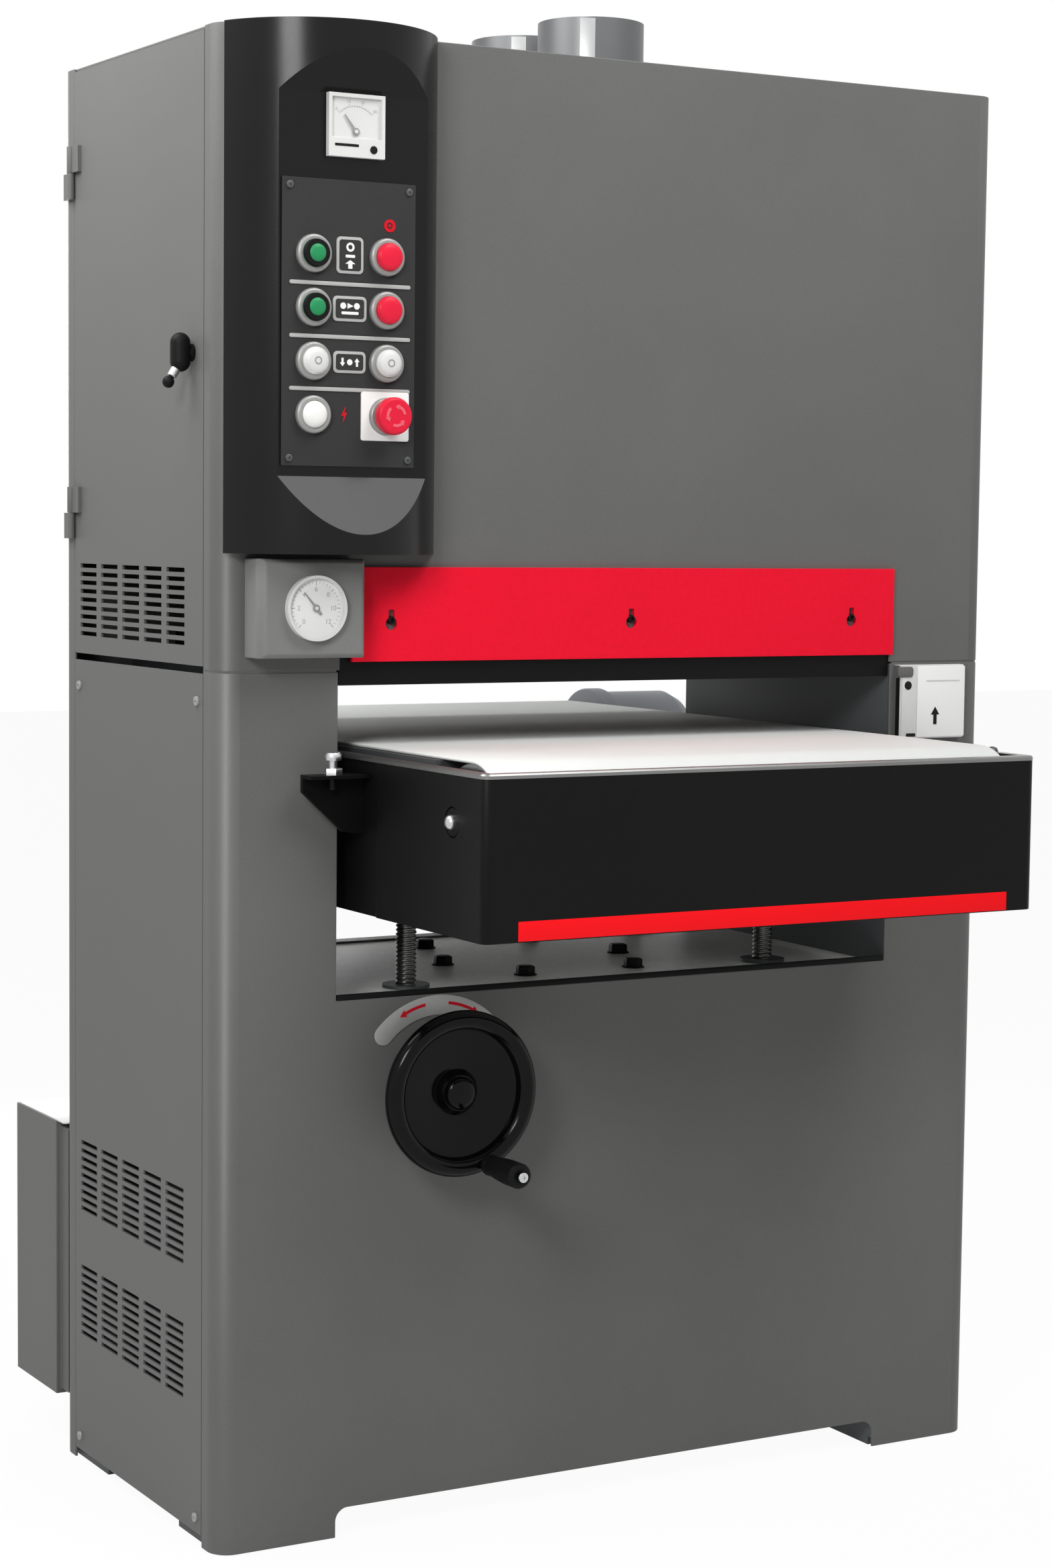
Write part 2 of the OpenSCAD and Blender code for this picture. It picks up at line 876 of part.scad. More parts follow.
// Finned motor on feet, with its terminal box and fan cowl
module main_motor() {
    x0 = motor_x1 - motor_len;
    fin_pitch = 30;
    color([0.25, 0.3, 0.35])
        difference() {
            union() {
                x_cyl(motor_r - 8, x0, motor_x1, 0, motor_z);
                x_cyl(motor_r, x0, x0 + 70, 0, motor_z);
                x_cyl(motor_r, motor_x1 - 25, motor_x1, 0, motor_z);
                for (a = [0 : fin_pitch : 359])
                    translate([x0 + 60, 0, motor_z])
                        rotate([a, 0, 0])
                            translate([0, -3, motor_r - 14])
                                cube([motor_len - 80, 6, 14]);
                for (sy = [-1, 1])
                    box(x0 + 110, motor_x1 - 60, sy * 70 - 30, sy * 70 + 30, floor_z + plate_t, motor_z - 60);
                box(x0 + 170, x0 + 300, -55, 55, motor_z + motor_r - 30, motor_z + motor_r + 30);
            }
            x_cyl(motor_shaft_r + run_fit, motor_x1 - 61, motor_x1 + 1, 0, motor_z);
        }
}

// Sheet shrouds at the head's underside, front and rear, whose ends carry the hold-down rollers
module head_shrouds() {
    z0 = seam_z - shroud_drop;
    end_t = 8;
    color([0.07, 0.07, 0.07])
        both_ends()
            difference() {
                union() {
                    box(-shroud_hw, shroud_hw, front + sheet, front + sheet + 10, z0, z0 + shroud_h);
                    both_sides()
                        box(shroud_hw - end_t, shroud_hw, front + sheet, -hold_y + 25, z0 + 2, z0 + shroud_h);
                }
                x_cyl(8 + run_fit, -shroud_hw - 1, shroud_hw + 1, -hold_y, hold_z);
            }
}

module hold_roller(y) {
    x_cyl(hold_r, -drum_len / 2, drum_len / 2, y, hold_z);
    x_cyl(8, -shroud_hw + 1, shroud_hw - 1, y, hold_z);
}

module infeed_roller() {
    color([0.12, 0.12, 0.12])
        hold_roller(-hold_y);
}

module outfeed_roller() {
    color([0.12, 0.12, 0.12])
        hold_roller(hold_y);
}

// Pieces on the front

// Guard plate with three keyholes
module red_guard() {
    z0 = seam_z + guard_rise;
    x0 = block_x + block_w + 0.5;
    color([0.86, 0.08, 0.18])
        front_prism(front - guard_t, front)
            difference() {
                rect(x0, oh, z0, z0 + guard_h);
                for (i = [-1 : 1])
                    translate([i * keyhole_pitch, z0 + guard_h * 0.4]) {
                        circle(keyhole_r);
                        rect(-keyhole_r / 2, keyhole_r / 2, 0, 2.2 * keyhole_r);
                    }
            }
}

// Block with chamfered front edges, bored for the gauge's stem
module gauge_block() {
    c = block_chamfer;
    x1 = block_x + block_w;
    z1 = block_z + block_h;
    color([0.5, 0.5, 0.49])
        difference() {
            intersection() {
                plan_prism(block_z, z1)
                    polygon([
                        [block_x, front], [block_x, gauge_y + c], [block_x + c, gauge_y],
                        [x1 - c / 2, gauge_y], [x1, gauge_y + c / 2], [x1, front]
                    ]);
                side_prism(block_x - 1, x1 + 1)
                    polygon([
                        [front, block_z], [gauge_y + c / 2, block_z], [gauge_y, block_z + c / 2],
                        [gauge_y, z1 - c / 2], [gauge_y + c / 2, z1], [front, z1]
                    ]);
            }
            y_cyl(gauge_stem_r + run_fit, gauge_y - 1, gauge_y + 16, gauge_x, gauge_z);
        }
}

// Round case with a rolled rim, a sunk dial and the needle's post
module pressure_gauge() {
    color("whitesmoke") {
        difference() {
            y_cyl(gauge_r, gauge_y - gauge_d, gauge_y, gauge_x, gauge_z);
            y_cyl(gauge_r - 3, gauge_y - gauge_d - 1, gauge_face_y, gauge_x, gauge_z);
        }
        y_cyl(gauge_stem_r, gauge_y - 1, gauge_y + 15, gauge_x, gauge_z);
        y_cyl(2, gauge_face_y - 3, gauge_face_y + 1, gauge_x, gauge_z);
    }
}

// Needle about a post at (x, z), from its tail to its tip, with its hub
module needle(x, z, y, length, tail, angle) {
    difference() {
        translate([x, 0, z])
            rotate([0, -angle, 0])
                front_prism(y - 0.8, y)
                    union() {
                        polygon([[-1.6, -tail], [1.6, -tail], [0.5, length], [-0.5, length]]);
                        circle(4);
                    }
        y_cyl(2 + run_fit, y - 2, y + 1, x, z);
    }
}

module gauge_needle() {
    color("black")
        needle(gauge_x, gauge_z, gauge_face_y - 1, gauge_r - 13, 9, 40);
}

// Shallow closed box with a chamfered face
module plate_box() {
    x0 = oh + 6;
    z1 = seam_z - 1.5;
    c = 3;
    color("white")
        plan_prism(z1 - plate_box_h, z1)
            polygon([
                [x0, front], [x0, front - plate_box_d + c], [x0 + c, front - plate_box_d],
                [x0 + plate_box_w - c, front - plate_box_d], [x0 + plate_box_w, front - plate_box_d + c],
                [x0 + plate_box_w, front]
            ]);
}

// Control pedestal

// Side outline of what the recess takes away: a flat with a sloped ceiling and a sloped sill
module recess_outline(grow) {
    out = ped_d - recess_d + 12;
    polygon([
        [recess_y + grow, recess_low_z - grow],
        [recess_y + grow, recess_high_z + grow],
        [recess_y - out, recess_high_z + grow + out * ceiling_slope],
        [recess_y - out, recess_low_z - grow - out * sill_slope]
    ]);
}

// Half-round column between two heights, with the recess cut out of it
module pedestal_form(inset, grow, z0, z1) {
    difference() {
        plan_prism(z0, z1)
            intersection() {
                translate([ped_cx, ped_cy])
                    circle(ped_r - inset);
                rect(-hw, ped_cx + ped_w, front - ped_d - 1, front);
            }
        side_prism(-hw - 1, ped_cx + ped_w)
            recess_outline(grow);
    }
}

// Places of the buttons on the plate: column sign and row, counted from the lowest
module button_at(side, row) {
    translate([ctrl_cx + side * button_x, 0, button_z + row * button_pitch])
        children();
}

module control_pedestal() {
    color([0.05, 0.05, 0.05])
        difference() {
            pedestal_form(0, 0, ped_z, cab_h);
            pedestal_form(ped_wall, ped_wall, ped_z + ped_wall, cab_h - ped_wall);
            for (side = [-1, 1], row = [0 : 3])
                button_at(side, row)
                    y_cyl(pedestal_hole_r, recess_y - 1, recess_y + ped_wall + 1, 0, 0);
        }
}

module control_plate() {
    color([0.24, 0.24, 0.24])
        difference() {
            box(ctrl_cx - ctrl_w / 2, ctrl_cx + ctrl_w / 2, ctrl_y, recess_y, ctrl_z, ctrl_z + ctrl_h);
            for (side = [-1, 1], row = [0 : 3])
                button_at(side, row)
                    y_cyl(pedestal_hole_r, ctrl_y - 1, recess_y + 1, 0, 0);
        }
}

// Rounded ring that stands on the plate round a button of radius r
module bezel(r) {
    edge = 3;
    rotate([90, 0, 0])
        rotate_extrude()
            difference() {
                union() {
                    rect(r + run_fit, bezel_r - edge, 0, bezel_d);
                    rect(r + run_fit, bezel_r, 0, bezel_d - edge);
                    translate([bezel_r - edge, bezel_d - edge])
                        circle(edge);
                }
                rect(0, r + run_fit, -1, bezel_d + 1);
            }
}

// Bezels of the six buttons, the lamp's bezel with its closed lens seat, and the emergency stop's collar
module button_bezels() {
    color("silver") {
        for (side = [-1, 1], row = [1 : 3])
            button_at(side, row)
                translate([0, ctrl_y, 0])
                    bezel(button_r);
        button_at(-1, 0) {
            translate([0, ctrl_y, 0])
                bezel(button_r);
            y_cyl(button_r + 1, ctrl_y - bezel_d + 2, ctrl_y - 1, 0, 0);
        }
        button_at(1, 0)
            translate([0, ctrl_y, 0])
                bezel(estop_stem_r);
    }
}

// Push button: a cap with a broken edge, on a shank that runs back through the plate
module push_button(side, row) {
    edge = 1.5;
    tip = bezel_d + button_d;
    button_at(side, row)
        translate([0, ctrl_y, 0])
            rotate([90, 0, 0]) {
                translate([0, 0, -button_seat])
                    cylinder(r = button_r, h = tip + button_seat - edge);
                translate([0, 0, tip - edge])
                    cylinder(r1 = button_r, r2 = button_r - edge, h = edge);
            }
}

module sander_start_button() {
    color([0.05, 0.5, 0.25])
        push_button(-1, 3);
}

module sander_stop_button() {
    color([0.8, 0.1, 0.15])
        push_button(1, 3);
}

module feed_start_button() {
    color([0.05, 0.5, 0.25])
        push_button(-1, 2);
}

module feed_stop_button() {
    color([0.8, 0.1, 0.15])
        push_button(1, 2);
}

module table_up_button() {
    color("whitesmoke")
        push_button(-1, 1);
}

module table_down_button() {
    color("whitesmoke")
        push_button(1, 1);
}

// Mushroom head with a domed face and a waisted neck, on its stem
module estop_button() {
    neck = bezel_d + button_travel + 2;
    head = 14;
    color([0.8, 0.1, 0.15])
        button_at(1, 0)
            translate([0, ctrl_y, 0])
                rotate([90, 0, 0]) {
                    translate([0, 0, -button_seat])
                        cylinder(r = estop_stem_r, h = neck + button_seat + 1);
                    translate([0, 0, neck])
                        rotate_extrude()
                            difference() {
                                union() {
                                    rect(0, estop_r - 4, 0, head);
                                    rect(0, estop_r, 3, head - 4);
                                    translate([estop_r - 4, head - 4])
                                        circle(4);
                                    translate([estop_r - 4, 4])
                                        circle(4);
                                }
                                rect(-estop_r, 0, -1, head + 1);
                            }
                }
}

// Square case with a sunk dial, its bezel and the needle's post
module ammeter() {
    h = meter_w / 2;
    color("white") {
        difference() {
            box(ped_cx - h, ped_cx + h, recess_y - meter_d, recess_y, meter_z - h, meter_z + h);
            box(ped_cx - h + 4, ped_cx + h - 4, recess_y - meter_d - 1, meter_face_y,
                meter_z - h + 20, meter_z + h - 4);
        }
        y_cyl(2, meter_face_y - 3, meter_face_y + 1, ped_cx, meter_post_z);
    }
}

module ammeter_needle() {
    color("black")
        needle(ped_cx, meter_post_z, meter_face_y - 1, meter_w - 44, 4, 38);
}

// Feed table

module table_frame() {
    color([0.08, 0.08, 0.08]) {
        both_sides()
            difference() {
                side_prism(rail_in, rail_out)
                    rect(-rail_end, rail_end, rail_low_z, rail_high_z);
                for (sy = [-1, 1])
                    x_cyl(roller_shaft_r + run_fit, rail_in - 1, rail_out + 1, sy * roller_y, roller_z);
            }
        both_ends()
            difference() {
                box(-rail_in, rail_in, -lift_y - member_d / 2, -lift_y + member_d / 2,
                    rail_low_z + 3, member_top);
                for (sx = [-1, 1])
                    z_cyl(lift_r + run_fit, rail_low_z, member_top + 1, sx * lift_x, -lift_y);
            }
    }
}

module table_bed() {
    z1 = roller_z + feed_in_r - near_gap;
    y = roller_y - roller_r - 5;
    color("lightgray")
        box(-rail_in, rail_in, -y, y, z1 - bed_t, z1);
}

// Folded cover with round corners, a top flange and holes for the rollers' shafts, front and rear
module table_end_covers() {
    color([0.09, 0.09, 0.09])
        difference() {
            both_ends() {
                plan_prism(rail_low_z, rail_high_z)
                    difference() {
                        intersection() {
                            round_rect(2 * table_hw, table_len, cover_r);
                            rect(-table_hw, table_hw, -table_end, -table_end + cover_wrap);
                        }
                        round_rect(2 * (table_hw - cover_t), table_len - 2 * cover_t, cover_r - cover_t);
                    }
                box(-rail_in + 1, rail_in - 1, -table_end + cover_t / 2, -table_end + cover_lip,
                    rail_high_z - cover_t, rail_high_z);
            }
            both_ends()
                x_cyl(roller_shaft_r + 1, -table_hw - 1, table_hw + 1, -roller_y, roller_z);
            x_cyl(spigot_r + 1, rail_in, table_hw + 1, roller_y, roller_z);
        }
}

module feed_belt() {
    color([0.88, 0.89, 0.88])
        side_prism(-feed_hw, feed_hw)
            difference() {
                feed_region(feed_out_r);
                feed_region(feed_in_r);
            }
}

// Region inside the feed belt: a bar with round ends on the two rollers
module feed_region(r) {
    rect(-roller_y, roller_y, roller_z - r, roller_z + r);
    for (sy = [-1, 1])
        translate([sy * roller_y, roller_z])
            circle(r);
}

// Roller with a shaft that ends at x1, and a bolt that shows on the table's left side
module table_roller(y, x1) {
    tube_roller(roller_r, roller_wall, 2 * feed_hw, roller_shaft_r, y, roller_z);
    x_cyl(roller_shaft_r, -rail_out, x1, y, roller_z);
    x_cyl(roller_shaft_r - 7, -rail_out - 5, -rail_out, y, roller_z);
}

module drive_roller() {
    color("dimgray")
        table_roller(roller_y, table_hw + drive_bore_len - 4);
}

module idler_roller() {
    color("dimgray")
        table_roller(-roller_y, rail_out);
}

// Gear motor flanged to the table's right side, bored for the drive roller's shaft
module feed_motor() {
    x0 = table_hw + near_gap;
    x1 = x0 + feed_motor_len;
    flange = 22;
    cap = 18;
    body_r = feed_motor_r - 5;
    color([0.62, 0.63, 0.63])
        difference() {
            union() {
                x_cyl(feed_motor_r, x0, x0 + flange, roller_y, roller_z);
                x_cyl(body_r, x0, x1 - cap, roller_y, roller_z);
                translate([x1 - cap, roller_y, roller_z])
                    rotate([0, 90, 0])
                        cylinder(r1 = body_r, r2 = body_r - 9, h = cap);
                x_cyl(spigot_r, rail_out, x0 + 1, roller_y, roller_z);
            }
            x_cyl(roller_shaft_r + run_fit, rail_out - 1, table_hw + drive_bore_len, roller_y, roller_z);
        }
}

// Plate with a slanted lower edge on the table's left side, with a tab and the stop bolt
module stop_bracket() {
    x0 = -oh - 53;
    x1 = -rail_out;
    y0 = front - 23;
    top = rail_high_z - 18;
    bolt_x = -oh - 22;
    color([0.07, 0.07, 0.07]) {
        front_prism(y0, y0 + 6)
            polygon([[x0, top], [x1, top], [x1, top - 67], [x1 - 25, top - 63], [x0, top - 19]]);
        box(x0, x1, y0 - 20, y0 + 1, top - 4, top);
        z_cyl(4, top - 16, top + 23, bolt_x, y0 - 10);
        z_cyl(8, top - 1, top + 6, bolt_x, y0 - 10);
        z_cyl(7, top + 16, top + 23, bolt_x, y0 - 10);
    }
}

// Table lift

module at_lift(sx, sy) {
    translate([sx * lift_x, sy * lift_y, 0])
        children();
}

module lift_screws() {
    color("silver")
        for (sx = [-1, 1], sy = [-1, 1])
            at_lift(sx, sy)
                z_cyl(lift_r, member_top - lift_len, member_top, 0, 0);
}

// Nut that turns in the deck, with its thrust collar and sprocket
module lift_nut(sx, sy) {
    at_lift(sx, sy)
        difference() {
            union() {
                z_cyl(lift_r + 6, nut_z, deck_top + 1, 0, 0);
                z_cyl(lift_r + 15, deck_top + near_gap, deck_top + 4, 0, 0);
                z_cyl(lift_r + 9, nut_z, deck_z - near_gap, 0, 0);
                z_cyl(sprocket_r - near_gap, chain_z, chain_z + 10, 0, 0);
            }
            z_cyl(lift_r + run_fit, nut_z - 1, deck_top + 5, 0, 0);
        }
}

// Front left nut, with the bevel wheel that the handwheel's pinion drives
module lift_nut_front_left() {
    tip = bevel_r - 14;
    color("slategray") {
        lift_nut(-1, -1);
        at_lift(-1, -1)
            difference() {
                union() {
                    translate([0, 0, wheel_z + tip + bevel_gap])
                        cylinder(r1 = tip, r2 = bevel_r, h = bevel_r - tip);
                    z_cyl(lift_r + 9, wheel_z + bevel_r, nut_z + 1, 0, 0);
                }
                z_cyl(lift_r + run_fit, wheel_z, nut_z + 2, 0, 0);
            }
    }
}

module lift_nut_front_right() {
    color("slategray")
        lift_nut(1, -1);
}

module lift_nut_rear_left() {
    color("slategray")
        lift_nut(-1, 1);
}

module lift_nut_rear_right() {
    color("slategray")
        lift_nut(1, 1);
}

// Chain round the four sprockets
module lift_chain() {
    out = sprocket_r + chain_t;
    color("dimgray")
        plan_prism(chain_z + 1, chain_z + 9)
            difference() {
                round_rect(2 * (lift_x + out), 2 * (lift_y + out), out);
                round_rect(2 * (lift_x + sprocket_r), 2 * (lift_y + sprocket_r), sprocket_r);
            }
}

// Shaft from the handwheel through the front, with the bevel pinion on its inner end
module handwheel_shaft() {
    tip = bevel_r - 14;
    color("silver") {
        y_cyl(wheel_shaft_r, wheel_y, -lift_y - bevel_r + 1, -lift_x, wheel_z);
        translate([-lift_x, -lift_y - tip - bevel_gap, wheel_z])
            rotate([90, 0, 0])
                cylinder(r1 = tip, r2 = bevel_r, h = bevel_r - tip);
    }
}

// Dished wheel: round rim, sloping web and hub, with the handle's pin
module handwheel() {
    hub_r = 24;
    hub_back = 30;
    color([0.06, 0.06, 0.06])
        translate([-lift_x, wheel_y, wheel_z])
            difference() {
                union() {
                    rotate([90, 0, 0])
                        rotate_extrude()
                            union() {
                                translate([wheel_r - rim_r, 0])
                                    circle(rim_r);
                                polygon([
                                    [wheel_shaft_r - 2, -hub_back], [hub_r, -hub_back],
                                    [hub_r + 4, -rim_r - 8], [crank_at, -rim_r + 1], [crank_at, 0],
                                    [hub_r + 2, -rim_r], [hub_r - 4, -rim_r + 8],
                                    [wheel_shaft_r - 2, -rim_r + 8]
                                ]);
                            }
                    rotate([0, -crank_angle, 0])
                        translate([crank_at + crank_out, 0, 0]) {
                            y_cyl(4, -rim_r - crank_len - 1, 0, 0, 0);
                            y_cyl(6.5, -rim_r - crank_len - 3.5, -rim_r - crank_len - 0.5, 0, 0);
                        }
                }
                y_cyl(wheel_shaft_r + run_fit, 1, hub_back + 1, 0, 0);
                y_cyl(wheel_shaft_r - 2, -1, 2, 0, 0);
            }
}

// Waisted handle that spins on the wheel's pin
module crank_handle() {
    y0 = rim_r + 2;
    len = crank_len - 2.5;
    color([0.06, 0.06, 0.06])
        translate([-lift_x, wheel_y, wheel_z])
            rotate([0, -crank_angle, 0])
                translate([crank_at + crank_out, 0, 0])
                    rotate([90, 0, 0])
                        translate([0, 0, y0])
                            rotate_extrude()
                                polygon([
                                    [4 + run_fit, 0], [crank_r - 3, 0], [crank_r - 2, 4], [crank_r - 3, 10],
                                    [crank_r - 1, len * 0.4], [crank_r, len * 0.6], [crank_r, len - 4],
                                    [crank_r - 1.2, len - 1.2], [crank_r - 4, len], [4 + run_fit, len]
                                ]);
}

// Box behind the left corner, on a narrower neck that is open to the cabinet
module electrical_box() {
    z1 = ebox_z + ebox_h;
    step = 6;
    wall = 2;
    inset = step + wall;
    color([0.4, 0.41, 0.41])
        difference() {
            union() {
                box(-hw + step, -hw + ebox_w - step, hd, hd + ebox_neck + 1, ebox_z + step, z1 - step);
                box(-hw, -hw + ebox_w, hd + ebox_neck, hd + ebox_d, ebox_z, z1);
            }
            box(-hw + inset, -hw + ebox_w - inset, hd - 1, hd + ebox_d - wall, ebox_z + inset, z1 - inset);
        }
}

side_columns();
frame_plates();
lower_front_panel();
rear_panel();
side_panels();
upper_front_panel();
upper_right_panel();
roof_panel();
dust_collars();
head_frame();
drum_bearings();
abrasive_belt();
main_motor();
drive_belts();
head_shrouds();
red_guard();
gauge_block();
pressure_gauge();
plate_box();
control_pedestal();
control_plate();
ammeter();
button_bezels();
electrical_box();
lift_chain();
hinge_pins();
belt_door();
door_latch();
handwheel();
handwheel_shaft();
crank_handle();
lift_nut_front_left();
lift_nut_front_right();
lift_nut_rear_left();
lift_nut_rear_right();
table_frame();
table_bed();
table_end_covers();
feed_belt();
lift_screws();
feed_motor();
stop_bracket();
drive_roller();
idler_roller();
contact_drum();
drum_pulley();
tension_yoke();
tension_roller();
motor_pulley();
infeed_roller();
outfeed_roller();
sander_start_button();
sander_stop_button();
feed_start_button();
feed_stop_button();
table_up_button();
table_down_button();
estop_button();
ammeter_needle();
gauge_needle();
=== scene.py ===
"""Looks of a wide belt sander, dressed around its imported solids.

Metres, in the solids' own frame: the origin is on the floor under the middle of the cabinet, +X is to the
right of a person at the infeed side, +Y leads to the outfeed side and +Z is up.
"""
import json
import logging
import math
from dataclasses import dataclass
from enum import Enum
from typing import ClassVar, Dict, List, Sequence, Tuple

import bpy
import numpy as np
from mathutils import Matrix, Vector


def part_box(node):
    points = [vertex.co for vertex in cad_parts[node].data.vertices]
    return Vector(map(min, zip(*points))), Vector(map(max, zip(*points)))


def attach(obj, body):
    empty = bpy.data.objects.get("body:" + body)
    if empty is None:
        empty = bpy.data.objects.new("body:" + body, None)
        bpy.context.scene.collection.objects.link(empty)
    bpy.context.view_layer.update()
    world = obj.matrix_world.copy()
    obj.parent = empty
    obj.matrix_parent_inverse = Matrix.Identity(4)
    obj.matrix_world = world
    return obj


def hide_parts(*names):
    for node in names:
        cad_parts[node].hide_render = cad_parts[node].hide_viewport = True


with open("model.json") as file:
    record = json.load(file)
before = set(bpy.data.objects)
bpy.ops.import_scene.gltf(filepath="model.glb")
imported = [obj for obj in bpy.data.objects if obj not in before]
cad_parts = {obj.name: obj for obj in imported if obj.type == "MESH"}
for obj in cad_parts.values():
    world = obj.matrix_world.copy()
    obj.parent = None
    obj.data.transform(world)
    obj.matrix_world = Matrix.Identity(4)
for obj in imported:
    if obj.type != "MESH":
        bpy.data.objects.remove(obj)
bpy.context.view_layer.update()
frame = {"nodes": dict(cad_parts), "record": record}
SLOTS = {part["node"]: part["material_slot"] for part in frame["record"]["subparts"]}
LOG = logging.getLogger("wide_belt_sander")
WHITE = (1.0, 1.0, 1.0, 1.0)
Triple = Tuple[float, float, float]
Pair = Tuple[float, float]


def linear(rgb: Triple) -> Tuple[float, float, float, float]:
    """Turn an sRGB colour of 0 to 255 into the linear colour of a shader socket, by the sRGB curve."""
    share = np.clip(np.array(rgb, float), 0.0, 255.0) / 255.0
    value = np.where(share <= 0.04045, share / 12.92, ((share + 0.055) / 1.055) ** 2.4)
    return (float(value[0]), float(value[1]), float(value[2]), 1.0)


@dataclass(frozen=True)
class Skin:
    """A surface's finest relief: scale per metre, octaves of noise, stretch along X, Y and Z, and depth."""

    scale: float
    detail: float
    stretch: Triple
    depth: float


class Grain(Enum):
    """Kinds of fine surface detail."""

    POWDER = Skin(520.0, 2.0, (1.0, 1.0, 1.0), 0.00030)
    SPRAY = Skin(160.0, 2.0, (1.0, 1.0, 1.0), 0.00010)
    MOULDED = Skin(900.0, 1.0, (1.0, 1.0, 1.0), 0.00008)
    TURNED = Skin(240.0, 3.0, (1.0, 1.0, 14.0), 0.00008)
    CAST = Skin(700.0, 4.0, (1.0, 1.0, 1.0), 0.00035)
    ZINC = Skin(90.0, 2.0, (1.0, 1.0, 1.0), 0.00005)
    WOVEN = Skin(420.0, 2.0, (1.0, 1.0, 1.0), 0.00025)
    GRIT = Skin(1600.0, 1.0, (1.0, 1.0, 1.0), 0.00045)


class NodeSheet:
    """The node tree of a material or a world, with short ways to add and join its nodes."""

    def __init__(self, owner: bpy.types.ID) -> None:
        """Start with an empty tree."""
        owner.use_nodes = True
        self.tree = owner.node_tree
        self.tree.nodes.clear()

    def add(self, kind: str, **inputs: object) -> bpy.types.Node:
        """Add a node.

        Args:
            kind: Blender's name of the node's type.
            inputs: values of its sockets by name, with underscores for spaces.

        Returns:
            The new node.
        """
        node = self.tree.nodes.new(kind)
        for name, value in inputs.items():
            node.inputs[name.replace("_", " ")].default_value = value
        return node

    def join(self, source: bpy.types.NodeSocket, target: bpy.types.NodeSocket) -> None:
        """Link an output socket to an input socket."""
        self.tree.links.new(source, target)

    def maths(self, operation: str, *values: object) -> bpy.types.NodeSocket:
        """Add a Math node.

        Args:
            operation: Blender's name of the operation.
            values: its inputs in order, as sockets to link or as numbers.

        Returns:
            The socket of the result.
        """
        node = self.add("ShaderNodeMath")
        node.operation = operation
        for value, socket in zip(values, node.inputs):
            if isinstance(value, bpy.types.NodeSocket):
                self.join(value, socket)
            else:
                socket.default_value = value
        return node.outputs[0]

    def sums(self, first: bpy.types.NodeSocket, second: bpy.types.NodeSocket,
             share: float) -> bpy.types.NodeSocket:
        """Blend two values: first times (1 - share) plus second times share.

        Args:
            first: the value that fades out as share grows.
            second: the value that fades in.
            share: weight of the second value.

        Returns:
            The socket of the blended value.
        """
        return self.maths("MULTIPLY_ADD", second, share, self.maths("MULTIPLY", first, 1.0 - share))


